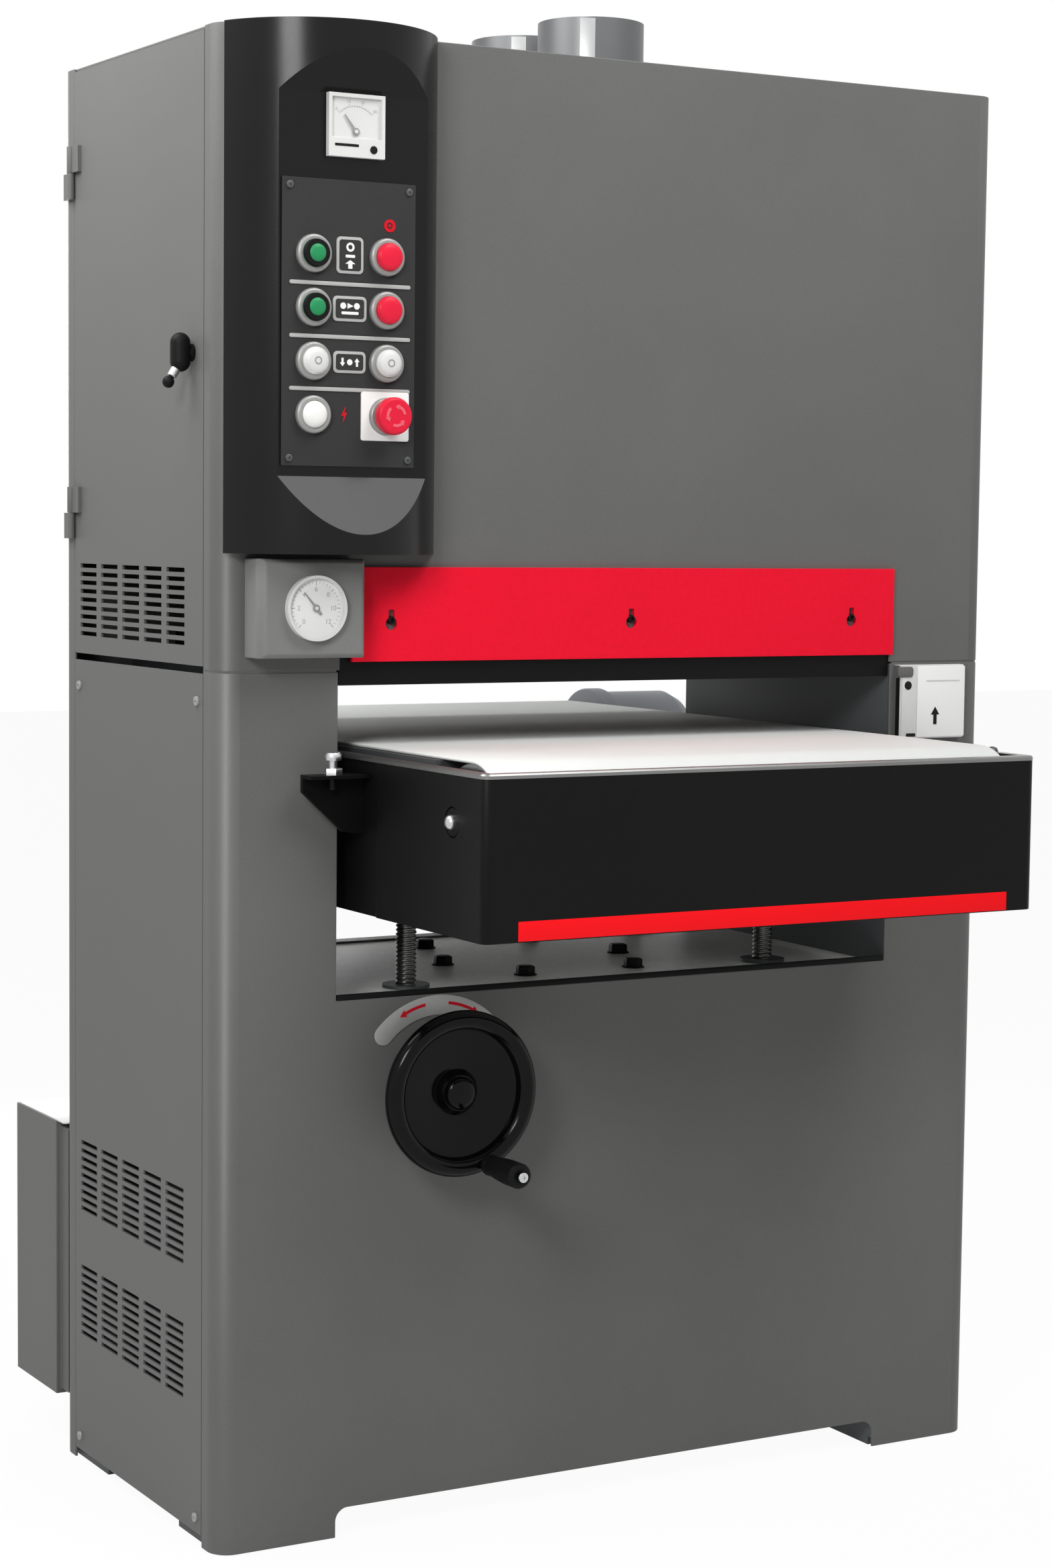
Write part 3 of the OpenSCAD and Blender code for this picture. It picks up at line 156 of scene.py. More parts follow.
@dataclass(frozen=True)
class Finish:
    """A finish of the machine: colour as sRGB, kind of grain, and how it takes the light.

    mottle is the share by which the colour varies from place to place, and bump the strength of the grain's
    relief. The shared values are the broad patches' scale per metre, the fine pattern's share of the tone,
    the range of tones that the colour spans, the spread of the roughness and the coat's own roughness.
    """

    PATCH_SCALE: ClassVar[float] = 4.0
    FINE_SHARE: ClassVar[float] = 0.45
    TONES: ClassVar[Pair] = (0.25, 0.75)
    ROUGH_SPREAD: ClassVar[float] = 0.07
    COAT_ROUGH: ClassVar[float] = 0.12

    name: str
    colour: Triple
    grain: Grain
    rough: float
    metal: float = 0.0
    mottle: float = 0.05
    bump: float = 0.2
    specular: float = 0.5
    coat: float = 0.0
    glow: float = 0.0

    def material(self) -> bpy.types.Material:
        """Build the finish's material once: broad and fine noise vary the colour and the roughness, and the
        fine pattern of its grain lifts the surface.

        Returns:
            The material, the same one on every call.
        """
        name = self.name + "_finish"
        known = bpy.data.materials.get(name)
        if known:
            return known
        made = bpy.data.materials.new(name)
        sheet = NodeSheet(made)
        skin = self.grain.value
        coord = sheet.add("ShaderNodeTexCoord")
        way = coord.outputs["UV" if self.grain is Grain.WOVEN else "Object"]
        turn = sheet.add("ShaderNodeMapping", Scale=skin.stretch)
        sheet.join(way, turn.inputs["Vector"])
        broad = sheet.add("ShaderNodeTexNoise", Scale=self.PATCH_SCALE, Detail=4.0, Roughness=0.6)
        sheet.join(coord.outputs["Object"], broad.inputs["Vector"])
        fine = self._fine_pattern(sheet, skin, turn.outputs["Vector"])
        tone = sheet.sums(broad.outputs["Fac"], fine, self.FINE_SHARE)
        ramp = sheet.add("ShaderNodeValToRGB")
        shares = (1.0 - self.mottle, 1.0 + self.mottle)
        for stop, place, share in zip(ramp.color_ramp.elements, self.TONES, shares):
            stop.position = place
            stop.color = linear(tuple(c * share for c in self.colour))
        sheet.join(tone, ramp.inputs["Fac"])
        gloss = sheet.add("ShaderNodeMapRange", From_Min=self.TONES[0], From_Max=self.TONES[1],
                          To_Min=max(self.rough - self.ROUGH_SPREAD, 0.03),
                          To_Max=min(self.rough + self.ROUGH_SPREAD, 1.0))
        sheet.join(tone, gloss.inputs["Value"])
        relief = sheet.add("ShaderNodeBump", Strength=self.bump, Distance=skin.depth)
        sheet.join(fine, relief.inputs["Height"])
        shader = sheet.add("ShaderNodeBsdfPrincipled", Metallic=self.metal, Specular_IOR_Level=self.specular,
                           Coat_Weight=self.coat, Coat_Roughness=self.COAT_ROUGH)
        if self.glow:
            shader.inputs["Emission Color"].default_value = linear(self.colour)
            shader.inputs["Emission Strength"].default_value = self.glow
        sheet.join(ramp.outputs["Color"], shader.inputs["Base Color"])
        sheet.join(gloss.outputs["Result"], shader.inputs["Roughness"])
        sheet.join(relief.outputs["Normal"], shader.inputs["Normal"])
        out = sheet.add("ShaderNodeOutputMaterial")
        sheet.join(shader.outputs["BSDF"], out.inputs["Surface"])
        return made

    def _fine_pattern(self, sheet: NodeSheet, skin: Skin, way: bpy.types.NodeSocket) -> bpy.types.NodeSocket:
        """Add the grain's own pattern: crossed threads for belting, cells for zinc and grit, noise for the
        rest.

        Args:
            sheet: the material's node tree.
            skin: scale and detail of the pattern.
            way: the coordinates that it follows.

        Returns:
            The socket of the pattern's value, 0 to 1.
        """
        if self.grain is Grain.WOVEN:
            threads = []
            for direction in ("X", "Y"):
                wave = sheet.add("ShaderNodeTexWave", Scale=skin.scale, Distortion=0.6, Detail=1.0)
                wave.bands_direction = direction
                sheet.join(way, wave.inputs["Vector"])
                threads.append(wave.outputs["Fac"])
            return sheet.sums(threads[0], threads[1], 0.5)
        if self.grain in (Grain.ZINC, Grain.GRIT):
            cells = sheet.add("ShaderNodeTexVoronoi", Scale=skin.scale, Randomness=1.0)
            sheet.join(way, cells.inputs["Vector"])
            if self.grain is Grain.GRIT:
                return cells.outputs["Distance"]
            shade = sheet.add("ShaderNodeSeparateColor")
            sheet.join(cells.outputs["Color"], shade.inputs["Color"])
            return shade.outputs[0]
        noise = sheet.add("ShaderNodeTexNoise", Scale=skin.scale, Detail=skin.detail, Roughness=0.55)
        sheet.join(way, noise.inputs["Vector"])
        return noise.outputs["Fac"]


class Finishes:
    """The machine's finishes, by the name of the record's slot where a solid has it."""

    CABINET = Finish("cabinet_grey", (103, 103, 102), Grain.POWDER, 0.45, mottle=0.045, bump=0.3,
                     specular=0.12)
    FRAME = Finish("frame_grey", (84, 86, 88), Grain.SPRAY, 0.5, specular=0.2)
    DECK = Finish("deck_grey", (216, 216, 213), Grain.SPRAY, 0.45, mottle=0.12, specular=0.2)
    BLACK = Finish("black_paint", (15, 15, 15), Grain.SPRAY, 0.4, mottle=0.15, specular=0.1)
    RED = Finish("red_paint", (238, 24, 50), Grain.SPRAY, 0.45, mottle=0.035, specular=0.08)
    BLOCK = Finish("block_grey", (126, 126, 124), Grain.POWDER, 0.55, mottle=0.05, specular=0.12)
    ZINC = Finish("galvanised", (124, 125, 125), Grain.ZINC, 0.36, metal=0.9, mottle=0.1)
    STEEL = Finish("bright_steel", (196, 197, 198), Grain.TURNED, 0.28, metal=1.0, mottle=0.06)
    GREASED = Finish("greased_steel", (104, 104, 102), Grain.TURNED, 0.34, metal=0.9, mottle=0.12)
    IRON = Finish("grey_iron", (80, 82, 84), Grain.CAST, 0.55, metal=0.6, mottle=0.12)
    CHROME = Finish("chrome_ring", (152, 152, 150), Grain.TURNED, 0.35, metal=0.25, mottle=0.05, bump=0.08)
    GLOSS_BLACK = Finish("gloss_black", (11, 11, 11), Grain.MOULDED, 0.24, mottle=0.1, bump=0.12,
                         specular=0.22)
    MATTE_BLACK = Finish("matte_black", (15, 15, 15), Grain.MOULDED, 0.5, mottle=0.15, specular=0.12)
    CONTROL = Finish("control_grey", (56, 56, 56), Grain.POWDER, 0.6, mottle=0.08, bump=0.15, specular=0.08)
    WHITE = Finish("white_plastic", (218, 218, 216), Grain.MOULDED, 0.4, mottle=0.02, specular=0.3)
    GREEN = Finish("green_plastic", (40, 138, 86), Grain.MOULDED, 0.35, mottle=0.05, specular=0.2)
    RED_PLASTIC = Finish("red_plastic", (226, 36, 62), Grain.MOULDED, 0.34, mottle=0.06, specular=0.15)
    ALLOY = Finish("motor_alloy", (120, 124, 128), Grain.CAST, 0.5, metal=0.3, mottle=0.08)
    BELTING = Finish("white_belt", (220, 222, 219), Grain.WOVEN, 0.65, mottle=0.03, bump=0.5, specular=0.12)
    RUBBER = Finish("black_rubber", (20, 20, 20), Grain.CAST, 0.75, mottle=0.15, specular=0.12)
    ABRASIVE = Finish("abrasive", (112, 66, 44), Grain.GRIT, 0.85, mottle=0.25, bump=0.9, specular=0.2)
    DIAL = Finish("dial_white", (240, 240, 238), Grain.MOULDED, 0.45, mottle=0.015, bump=0.05, specular=0.25)
    INK = Finish("printed_black", (22, 22, 22), Grain.MOULDED, 0.55, mottle=0.1, bump=0.05, specular=0.12)
    RED_INK = Finish("printed_red", (206, 26, 42), Grain.MOULDED, 0.55, mottle=0.06, bump=0.05, specular=0.1)
    STRIPE = Finish("stripe_red", (252, 24, 32), Grain.MOULDED, 0.5, mottle=0.02, bump=0.08, specular=0.08)
    PALE_INK = Finish("printed_grey", (176, 177, 175), Grain.MOULDED, 0.5, mottle=0.04, bump=0.05,
                      specular=0.2)
    LAMP = Finish("lamp_lens", (236, 236, 232), Grain.MOULDED, 0.25, mottle=0.02, specular=0.3,
                  coat=0.3, glow=0.06)
    ARC = Finish("arc_plate_grey", (172, 172, 170), Grain.TURNED, 0.5, metal=0.2, mottle=0.06, specular=0.2)
    PALE_STRIP = Finish("pale_strip", (212, 213, 211), Grain.CAST, 0.5, mottle=0.06, bump=0.1, specular=0.2)
    COLLAR = Finish("rolled_zinc", (104, 105, 106), Grain.TURNED, 0.42, metal=0.7, mottle=0.04, bump=0.06)
    SEAM = Finish("bright_seam", (162, 163, 163), Grain.TURNED, 0.38, metal=0.6, mottle=0.04, bump=0.06)
    WHEEL = Finish("wheel_black", (7, 7, 7), Grain.MOULDED, 0.14, mottle=0.1, bump=0.06, specular=0.13)
    NEEDLE = Finish("needle_grey", (152, 152, 151), Grain.MOULDED, 0.5, mottle=0.04, bump=0.05, specular=0.15)
    # pale metal of the table's edge trim: partly the real lip, partly a painted highlight on the covers' top
    # edge
    TRIM_AND_HIGHLIGHT = Finish("edge_trim", (126, 126, 125), Grain.TURNED, 0.32, metal=0.85, mottle=0.06, bump=0.1)
    # pale cover on the electrics box: partly a real top sheet, partly a painted highlight from light above
    COVER_AND_HIGHLIGHT = Finish("pale_lid", (202, 203, 202), Grain.SPRAY, 0.42, mottle=0.03, specular=0.3)
    PALE_RED = Finish("pale_red", (238, 104, 118), Grain.MOULDED, 0.45, mottle=0.05, bump=0.05, specular=0.15)
    FACE = Finish("gauge_white", (236, 236, 234), Grain.MOULDED, 0.45, mottle=0.01, bump=0.05, specular=0.25)

    @classmethod
    def of_slot(cls, slot: str) -> Finish:
        """Find the finish that has a record slot's name."""
        return next(f for f in vars(cls).values() if isinstance(f, Finish) and f.name == slot)


class Side(Enum):
    """The way that a flat place faces, as its right and up directions; right x up points off the surface."""

    FRONT = ((1.0, 0.0, 0.0), (0.0, 0.0, 1.0))
    LEFT = ((0.0, -1.0, 0.0), (0.0, 0.0, 1.0))
    RIGHT = ((0.0, 1.0, 0.0), (0.0, 0.0, 1.0))
    REAR = ((-1.0, 0.0, 0.0), (0.0, 0.0, 1.0))
    TOP = ((1.0, 0.0, 0.0), (0.0, 1.0, 0.0))

    def at(self, x: float, y: float, z: float) -> "Place":
        """Make a place at a point, facing this way."""
        return Place((x, y, z), self.value[0], self.value[1])


@dataclass(frozen=True)
class Place:
    """A flat place on the machine: a point on it, and its right and up directions."""

    origin: Triple
    right: Triple
    up: Triple

    def carry(self, points: np.ndarray) -> np.ndarray:
        """Carry local points into the machine's frame: origin + u right + v up + w (right x up).

        Args:
            points: array of (..., 3) local coordinates u, v and w.

        Returns:
            The array in the machine's frame.
        """
        basis = np.stack([self.right, self.up, np.cross(self.right, self.up)])
        return np.asarray(points) @ basis + np.array(self.origin)

    def moved(self, u: float = 0.0, v: float = 0.0, w: float = 0.0) -> "Place":
        """Shift the place by local distances."""
        return Place(tuple(self.carry(np.array([u, v, w]))), self.right, self.up)


def round_rect(width: float, height: float, radius: float, steps: int = 6) -> np.ndarray:
    """Outline of a rectangle with round corners: four quarter circles about the corners' centres.

    Args:
        width: whole width.
        height: whole height.
        radius: radius of the corners.
        steps: points on each corner.

    Returns:
        Points of the outline, anticlockwise, as (n, 2).
    """
    turn = np.linspace(0.0, math.pi / 2, steps)
    corner = np.arange(4)[:, None]
    angle = corner * math.pi / 2 + turn[None, :]
    cx = np.array([1, -1, -1, 1])[:, None] * (width / 2 - radius)
    cy = np.array([1, 1, -1, -1])[:, None] * (height / 2 - radius)
    return np.stack([cx + radius * np.cos(angle), cy + radius * np.sin(angle)], axis=-1).reshape(-1, 2)


def ngon(radius: float, count: int = 32, turn: float = 0.0) -> np.ndarray:
    """Outline of a regular polygon or circle: count points on a circle of that radius, anticlockwise."""
    angle = turn + np.arange(count) * 2 * math.pi / count
    return radius * np.stack([np.cos(angle), np.sin(angle)], axis=-1)


def arc_band(inner: float, outer: float, start: float, end: float, count: int = 28) -> np.ndarray:
    """Outline of a flat band round a circle: out along the outer arc and back along the inner one.

    Args:
        inner: inner radius.
        outer: outer radius.
        start: first angle in degrees.
        end: last angle in degrees, larger than start.
        count: points on each arc.

    Returns:
        Points of the outline, anticlockwise, as (2 count, 2).
    """
    angle = np.radians(np.linspace(start, end, count))
    ring = np.stack([np.cos(angle), np.sin(angle)], axis=-1)
    return np.concatenate([outer * ring, inner * ring[::-1]])


def ring_band(inner: float, outer: float, count: int) -> np.ndarray:
    """Outline of a whole flat ring, left open by a tenth of a degree so that it is one outline."""
    return arc_band(inner, outer, -180.0, 179.9, count)


def arc_slot(inner: float, outer: float, start: float, end: float, count: int = 40) -> np.ndarray:
    """Outline of a flat band round a circle with round ends: the two arcs, joined by half circles about the
    ends of the middle line.

    Args:
        inner: inner radius.
        outer: outer radius.
        start: first angle of the middle line in degrees.
        end: last angle in degrees, larger than start.
        count: points on each arc.

    Returns:
        Points of the outline, anticlockwise, as (2 count + 20, 2).
    """
    half, middle = (outer - inner) / 2, (outer + inner) / 2
    first, last = np.radians([start, end])
    bow = np.linspace(0.0, math.pi, 12)[1:-1]
    turn = np.linspace(first, last, count)
    ring = np.stack([np.cos(turn), np.sin(turn)], axis=-1)
    far = middle * ring[-1] + half * np.stack([np.cos(last + bow), np.sin(last + bow)], axis=-1)
    near = middle * ring[0] - half * np.stack([np.cos(first + bow), np.sin(first + bow)], axis=-1)
    return np.concatenate([outer * ring, far, inner * ring[::-1], near])


def arrow(width: float, height: float) -> np.ndarray:
    """Outline of an arrow that points up, about its middle, as (7, 2)."""
    share = np.array([
        [-0.2, -0.5], [0.2, -0.5], [0.2, 0.05], [0.5, 0.05], [0.0, 0.5], [-0.5, 0.05], [-0.2, 0.05]])
    return share * np.array([width, height])


def polar(radii: Sequence[float], degrees: Sequence[float]) -> np.ndarray:
    """Points at radii and angles in degrees about the origin, as (n, 2)."""
    turn = np.radians(degrees)
    return np.array(radii)[:, None] * np.stack([np.cos(turn), np.sin(turn)], axis=-1)


def inset(outline: np.ndarray, depth: float) -> np.ndarray:
    """Move an anticlockwise outline inwards: each corner goes against the mean direction of its two edges'
    normals, by the depth over the cosine of half its turn, so that every edge moves by the same depth. At
    very sharp corners the way is held back.

    Args:
        outline: points as (n, 2).
        depth: distance that the edges move.

    Returns:
        The moved points as (n, 2).
    """
    edge = np.roll(outline, -1, axis=0) - outline
    edge = edge / np.maximum(np.linalg.norm(edge, axis=1, keepdims=True), 1e-9)
    normal = np.stack([edge[:, 1], -edge[:, 0]], axis=-1)
    before = np.roll(normal, 1, axis=0)
    spread = 1.0 + np.sum(normal * before, axis=1, keepdims=True)
    return outline - depth * (normal + before) / np.maximum(spread, 0.5)


def turned(profile: Sequence[Pair], count: int) -> np.ndarray:
    """Turn a profile about a normal: a point (r, w) becomes the circle (r cos a, r sin a, w).

    Args:
        profile: radii and heights.
        count: points on each circle.

    Returns:
        Local points as (profile points, count, 3).
    """
    line = np.array(profile)
    flat = line[:, 0, None, None] * ngon(1.0, count)[None]
    height = np.broadcast_to(line[:, 1, None, None], flat.shape[:2] + (1,))
    return np.concatenate([flat, height], axis=-1)


class Shell:
    """Points and faces gathered into one piece."""

    def __init__(self) -> None:
        """Start with no points."""
        self.points: List[np.ndarray] = []
        self.faces: List[List[int]] = []
        self.count = 0

    def _add(self, points: np.ndarray, faces: List[np.ndarray]) -> None:
        """Add points of (n, 3) and blocks of faces that number them from 0."""
        for block in faces:
            self.faces.extend((np.asarray(block) + self.count).tolist())
        self.points.append(points)
        self.count += len(points)

    def stack(self, place: Place, rings: np.ndarray) -> "Shell":
        """Skin a stack of closed rings, base first, and cap both ends. Ring i joins ring i + 1 with one quad
        for each side, and the rings run anticlockwise seen from the tip, so the faces point outwards.

        Args:
            place: the place that the stack stands on.
            rings: local points as (rings, points, 3).

        Returns:
            This shell.
        """
        rows, cols = rings.shape[:2]
        index = np.arange(rows * cols).reshape(rows, cols)
        after = np.roll(index, -1, axis=1)
        quads = np.stack([index[:-1], after[:-1], after[1:], index[1:]], axis=-1).reshape(-1, 4)
        self._add(place.carry(rings.reshape(-1, 3)), [quads, index[:1, ::-1], index[-1:]])
        return self

    def loop(self, place: Place, rings: np.ndarray) -> "Shell":
        """Skin closed rings whose last joins the first, so that a section runs round a path with no ends.

        Args:
            place: the place that the rings lie on.
            rings: local points as (rings, points, 3), base first, out, up and back in.

        Returns:
            This shell.
        """
        rows, cols = rings.shape[:2]
        index = np.arange(rows * cols).reshape(rows, cols)
        after, above = np.roll(index, -1, axis=1), np.roll(index, -1, axis=0)
        quads = np.stack([index, after, np.roll(above, -1, axis=1), above], axis=-1).reshape(-1, 4)
        self._add(place.carry(rings.reshape(-1, 3)), [quads])
        return self

    def lathe(self, place: Place, profile: Sequence[Pair], count: int = 32) -> "Shell":
        """Turn a profile about the place's normal, with both ends capped.

        Args:
            place: foot of the axis.
            profile: radii and heights from the outer base up and inwards.
            count: points on each circle.

        Returns:
            This shell.
        """
        return self.stack(place, turned(profile, count))

    def plate(self, place: Place, outline: np.ndarray, depth: float, edge: float = 0.0) -> "Shell":
        """Raise a plate from an outline: straight walls, an edge rounded over two steps, and a flat top.

        Args:
            place: middle of the plate's base.
            outline: points as (n, 2), either way round.
            depth: thickness.
            edge: radius of the rounded edge.

        Returns:
            This shell.
        """
        x, y = outline.T
        if np.sum(x * np.roll(y, -1) - y * np.roll(x, -1)) < 0:
            outline = outline[::-1]
        steps = [(0.0, 0.0), (0.0, depth - edge)]
        if edge:
            steps += [(0.3 * edge, depth - 0.3 * edge), (edge, depth)]
        rings = [np.column_stack([inset(outline, d), np.full(len(outline), w)]) for d, w in steps]
        return self.stack(place, np.stack(rings))

    def screw(self, place: Place, radius: float, height: float) -> "Shell":
        """Raise a domed screw with a cross recess: the recess's radius is a small core plus four arms that
        follow the eighth power of the cosine of twice the angle.

        Args:
            place: where the head sits.
            radius: radius of the head.
            height: height of the head.

        Returns:
            This shell.
        """
        count = 32
        angle = np.arange(count) * 2 * math.pi / count
        round_share = np.array([1.0, 1.0, 0.93, 0.72])[:, None] * np.ones(count)
        cross = 0.14 + 0.42 * np.abs(np.cos(2 * angle)) ** 8
        reach = radius * np.concatenate([round_share, [cross, 0.8 * cross]])
        level = height * np.array([0.0, 0.45, 0.8, 1.0, 1.0, 0.45])[:, None] * np.ones(count)
        return self.stack(place, np.stack([reach * np.cos(angle), reach * np.sin(angle), level], axis=-1))

    def bolt(self, place: Place, across: float, height: float) -> "Shell":
        """Raise a hexagon head with a chamfered top on a washer.

        Args:
            place: where the washer lies.
            across: width across the head's flats.
            height: height of the head.

        Returns:
            This shell.
        """
        self.lathe(place, [(0.68 * across, 0.0), (0.68 * across, 0.0012), (0.66 * across, 0.0015)])
        outline = ngon(across / math.sqrt(3), 6, 0.3)
        return self.plate(place.moved(w=0.0014), outline, height, 0.12 * across)

    def text(self, place: Place, words: str, height: float) -> "Shell":
        """Set plain figures, 0.2 mm thick, with their middle at the place.

        Args:
            place: middle of the figures.
            words: the figures.
            height: height of the letters' body.

        Returns:
            This shell.
        """
        curve = bpy.data.curves.new("figures", "FONT")
        curve.body, curve.size, curve.extrude = words, height, 0.0001
        curve.align_x, curve.align_y = "CENTER", "CENTER"
        holder = bpy.data.objects.new("figures", curve)
        bpy.context.scene.collection.objects.link(holder)
        mesh = bpy.data.meshes.new_from_object(holder.evaluated_get(bpy.context.evaluated_depsgraph_get()))
        flat = np.empty(len(mesh.vertices) * 3)
        mesh.vertices.foreach_get("co", flat)
        start = self.count
        self._add(place.carry(flat.reshape(-1, 3)), [])
        self.faces.extend([[start + v for v in face.vertices] for face in mesh.polygons])
        bpy.data.objects.remove(holder)
        bpy.data.curves.remove(curve)
        bpy.data.meshes.remove(mesh)
        return self

    def piece(self, name: str, body: str, finish: Finish, slot: str) -> bpy.types.Object:
        """Make the gathered shape a piece of the machine.

        Args:
            name: name of the piece.
            body: the body that it moves with.
            finish: its finish.
            slot: the record's slot of its finish; not used.

        Returns:
            The new object.
        """
        mesh = bpy.data.meshes.new(name)
        mesh.from_pydata(np.concatenate(self.points).tolist(), [], self.faces)
        mesh.shade_smooth()
        mesh.set_sharp_from_angle(angle=math.radians(38))
        mesh.materials.append(finish.material())
        thing = bpy.data.objects.new(name, mesh)
        bpy.context.scene.collection.objects.link(thing)
        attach(thing, body)
        LOG.info("%s rides on %s: %d faces", name, body, len(self.faces))
        return thing


class Solids:
    """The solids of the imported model, which keep their shapes and get finishes and softened edges."""

    SOFT_EDGES: Dict[str, float] = {
        "lower_front_panel": 0.0011, "upper_front_panel": 0.0011, "side_panels": 0.0008, "belt_door": 0.0008,
        "rear_panel": 0.0011, "upper_right_panel": 0.0008, "roof_panel": 0.0008, "electrical_box": 0.002,
        "red_guard": 0.0012, "gauge_block": 0.0015, "plate_box": 0.001, "control_plate": 0.0008,
        "ammeter": 0.0012, "button_bezels": 0.0008, "table_end_covers": 0.0008, "stop_bracket": 0.0008,
        "feed_motor": 0.0015, "table_frame": 0.001, "door_latch": 0.0008,
    }
    OWN_FINISH: Dict[str, Finish] = {
        "dust_collars": Finishes.COLLAR, "handwheel": Finishes.WHEEL, "gauge_needle": Finishes.NEEDLE,
        "ammeter_needle": Finishes.NEEDLE,
    }

    def dress(self) -> None:
        """Give each solid its own or its slot's finish, and the ones in sight softened edges."""
        for name, solid in frame["nodes"].items():
            finish = self.OWN_FINISH.get(name, Finishes.of_slot(SLOTS[name])).material()
            if not solid.material_slots:
                solid.data.materials.append(finish)
            for holder in solid.material_slots:
                holder.material = finish
            if name in self.SOFT_EDGES:
                self._soften(solid, self.SOFT_EDGES[name])
        LOG.info("%d solids dressed", len(SLOTS))

    @staticmethod
    def _soften(solid: bpy.types.Object, width: float) -> None:
        """Join a solid's loose triangles into flat faces, and round its edges to a width."""
        weld = solid.modifiers.new("weld", "WELD")
        weld.merge_threshold = 0.00001
        flat = solid.modifiers.new("flat", "DECIMATE")
        flat.decimate_type, flat.angle_limit = "DISSOLVE", math.radians(0.3)
        edge = solid.modifiers.new("edge", "BEVEL")
        edge.width, edge.segments = width, 2
        edge.limit_method, edge.angle_limit = "ANGLE", math.radians(40)


@dataclass
class Belting:
    """An endless belt round two rollers: half its width, its thickness, and both rollers' axes and radii."""

    name: str
    node: str
    body: str
    finish: Finish
    half_width: float
    thick: float
    first: Pair
    second: Pair
    radii: Pair
    arc_steps: int = 28

    def build(self) -> bpy.types.Object:
        """Carry a flat section with rounded edges along the belt's path. At each step of the path the
        section's width lies along X and its thickness along the path's normal.

        Returns:
            The new object, in place of the solid.
        """
        path, normal = self._path()
        section = round_rect(2 * self.half_width, self.thick, 0.45 * self.thick, 4)
        lift = section[None, :, 1, None] + self.thick / 2
        line = path[:, None, :] + lift * normal[:, None, :]
        across = np.broadcast_to(-section[None, :, 0, None], line.shape[:2] + (1,))
        belt = Shell().loop(Side.TOP.at(0.0, 0.0, 0.0), np.concatenate([across, line], axis=-1))
        thing = belt.piece(self.name, self.body, self.finish, self.finish.name)
        self._map(thing, path, section)
        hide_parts(self.node)
        return thing

    def _path(self) -> Tuple[np.ndarray, np.ndarray]:
        """Work out the belt's path round both rollers: two arcs joined by their common tangents, which meet
        the circles where the normal leans from the line of centres by the arc cosine of the radii's
        difference over the distance.

        Returns:
            The path's points and normals, each as (n, 2) of Y and Z.
        """
        a, b = np.array(self.first), np.array(self.second)
        r0, r1 = self.radii
        span = np.linalg.norm(b - a)
        lean = math.acos((r0 - r1) / span)
        heading = math.atan2(b[1] - a[1], b[0] - a[0])
        count = self.arc_steps
        near = np.linspace(heading + lean, heading + 2 * math.pi - lean, count)
        far = np.linspace(heading - lean, heading + lean, count)
        angle = np.concatenate([near, far])[::-1]
        middle = np.repeat(np.stack([a, b]), count, axis=0)[::-1]
        radius = np.repeat([r0, r1], count)[::-1]
        normal = np.stack([np.cos(angle), np.sin(angle)], axis=-1)
        return middle + radius[:, None] * normal, normal

    @staticmethod
    def _map(thing: bpy.types.Object, path: np.ndarray, section: np.ndarray) -> None:
        """Give the belt a UV map that holds the distance across and the distance along."""
        step = np.linalg.norm(np.roll(path, -1, axis=0) - path, axis=1)
        along = np.concatenate([[0.0], np.cumsum(step)])
        v = np.stack([along[:-1], along[:-1], along[1:], along[1:]], axis=-1)[:, None, :]
        u = section[:, 0]
        u = np.stack([u, np.roll(u, -1), np.roll(u, -1), u], axis=-1)[None, :, :]
        both = np.stack(np.broadcast_arrays(u, v), axis=-1)
        layer = thing.data.uv_layers.new(name="along_the_belt")
        layer.data.foreach_set("uv", both.reshape(-1).astype(np.float32))


@dataclass
class LiftScrews:
    """Four threaded lift screws under the feed table, in place of the plain solids."""

    core: float = 0.0103
    crest: float = 0.012
    lead: float = 0.005
    steep: float = 1.8
    steps: int = 24
    rows_per_turn: int = 6

    def build(self) -> None:
        """Thread the rods: the radius is the core plus a wave of the height less the angle's share of the
        lead, clipped so that crests and roots are flat."""
        low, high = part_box("lift_screws")
        length = high.z - low.z
        rows = int(length / self.lead * self.rows_per_turn) + 1
        z = np.linspace(0.0, length, rows)[:, None]
        angle = np.arange(self.steps)[None, :] * 2 * math.pi / self.steps
        wave = np.cos(2 * math.pi * z / self.lead - angle)
        share = 0.5 + 0.5 * np.clip(self.steep * wave, -1.0, 1.0)
        radius = self.core + (self.crest - self.core) * share
        rings = np.stack([radius * np.cos(angle), radius * np.sin(angle), z + 0.0 * angle], axis=-1)
        rods = Shell()
        for x in (low.x + self.crest, high.x - self.crest):
            for y in (low.y + self.crest, high.y - self.crest):
                rods.stack(Side.TOP.at(x, y, low.z), rings)
        thing = rods.piece("threaded_lift_screws", "table", Finishes.GREASED, "bright_steel")
        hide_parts("lift_screws")


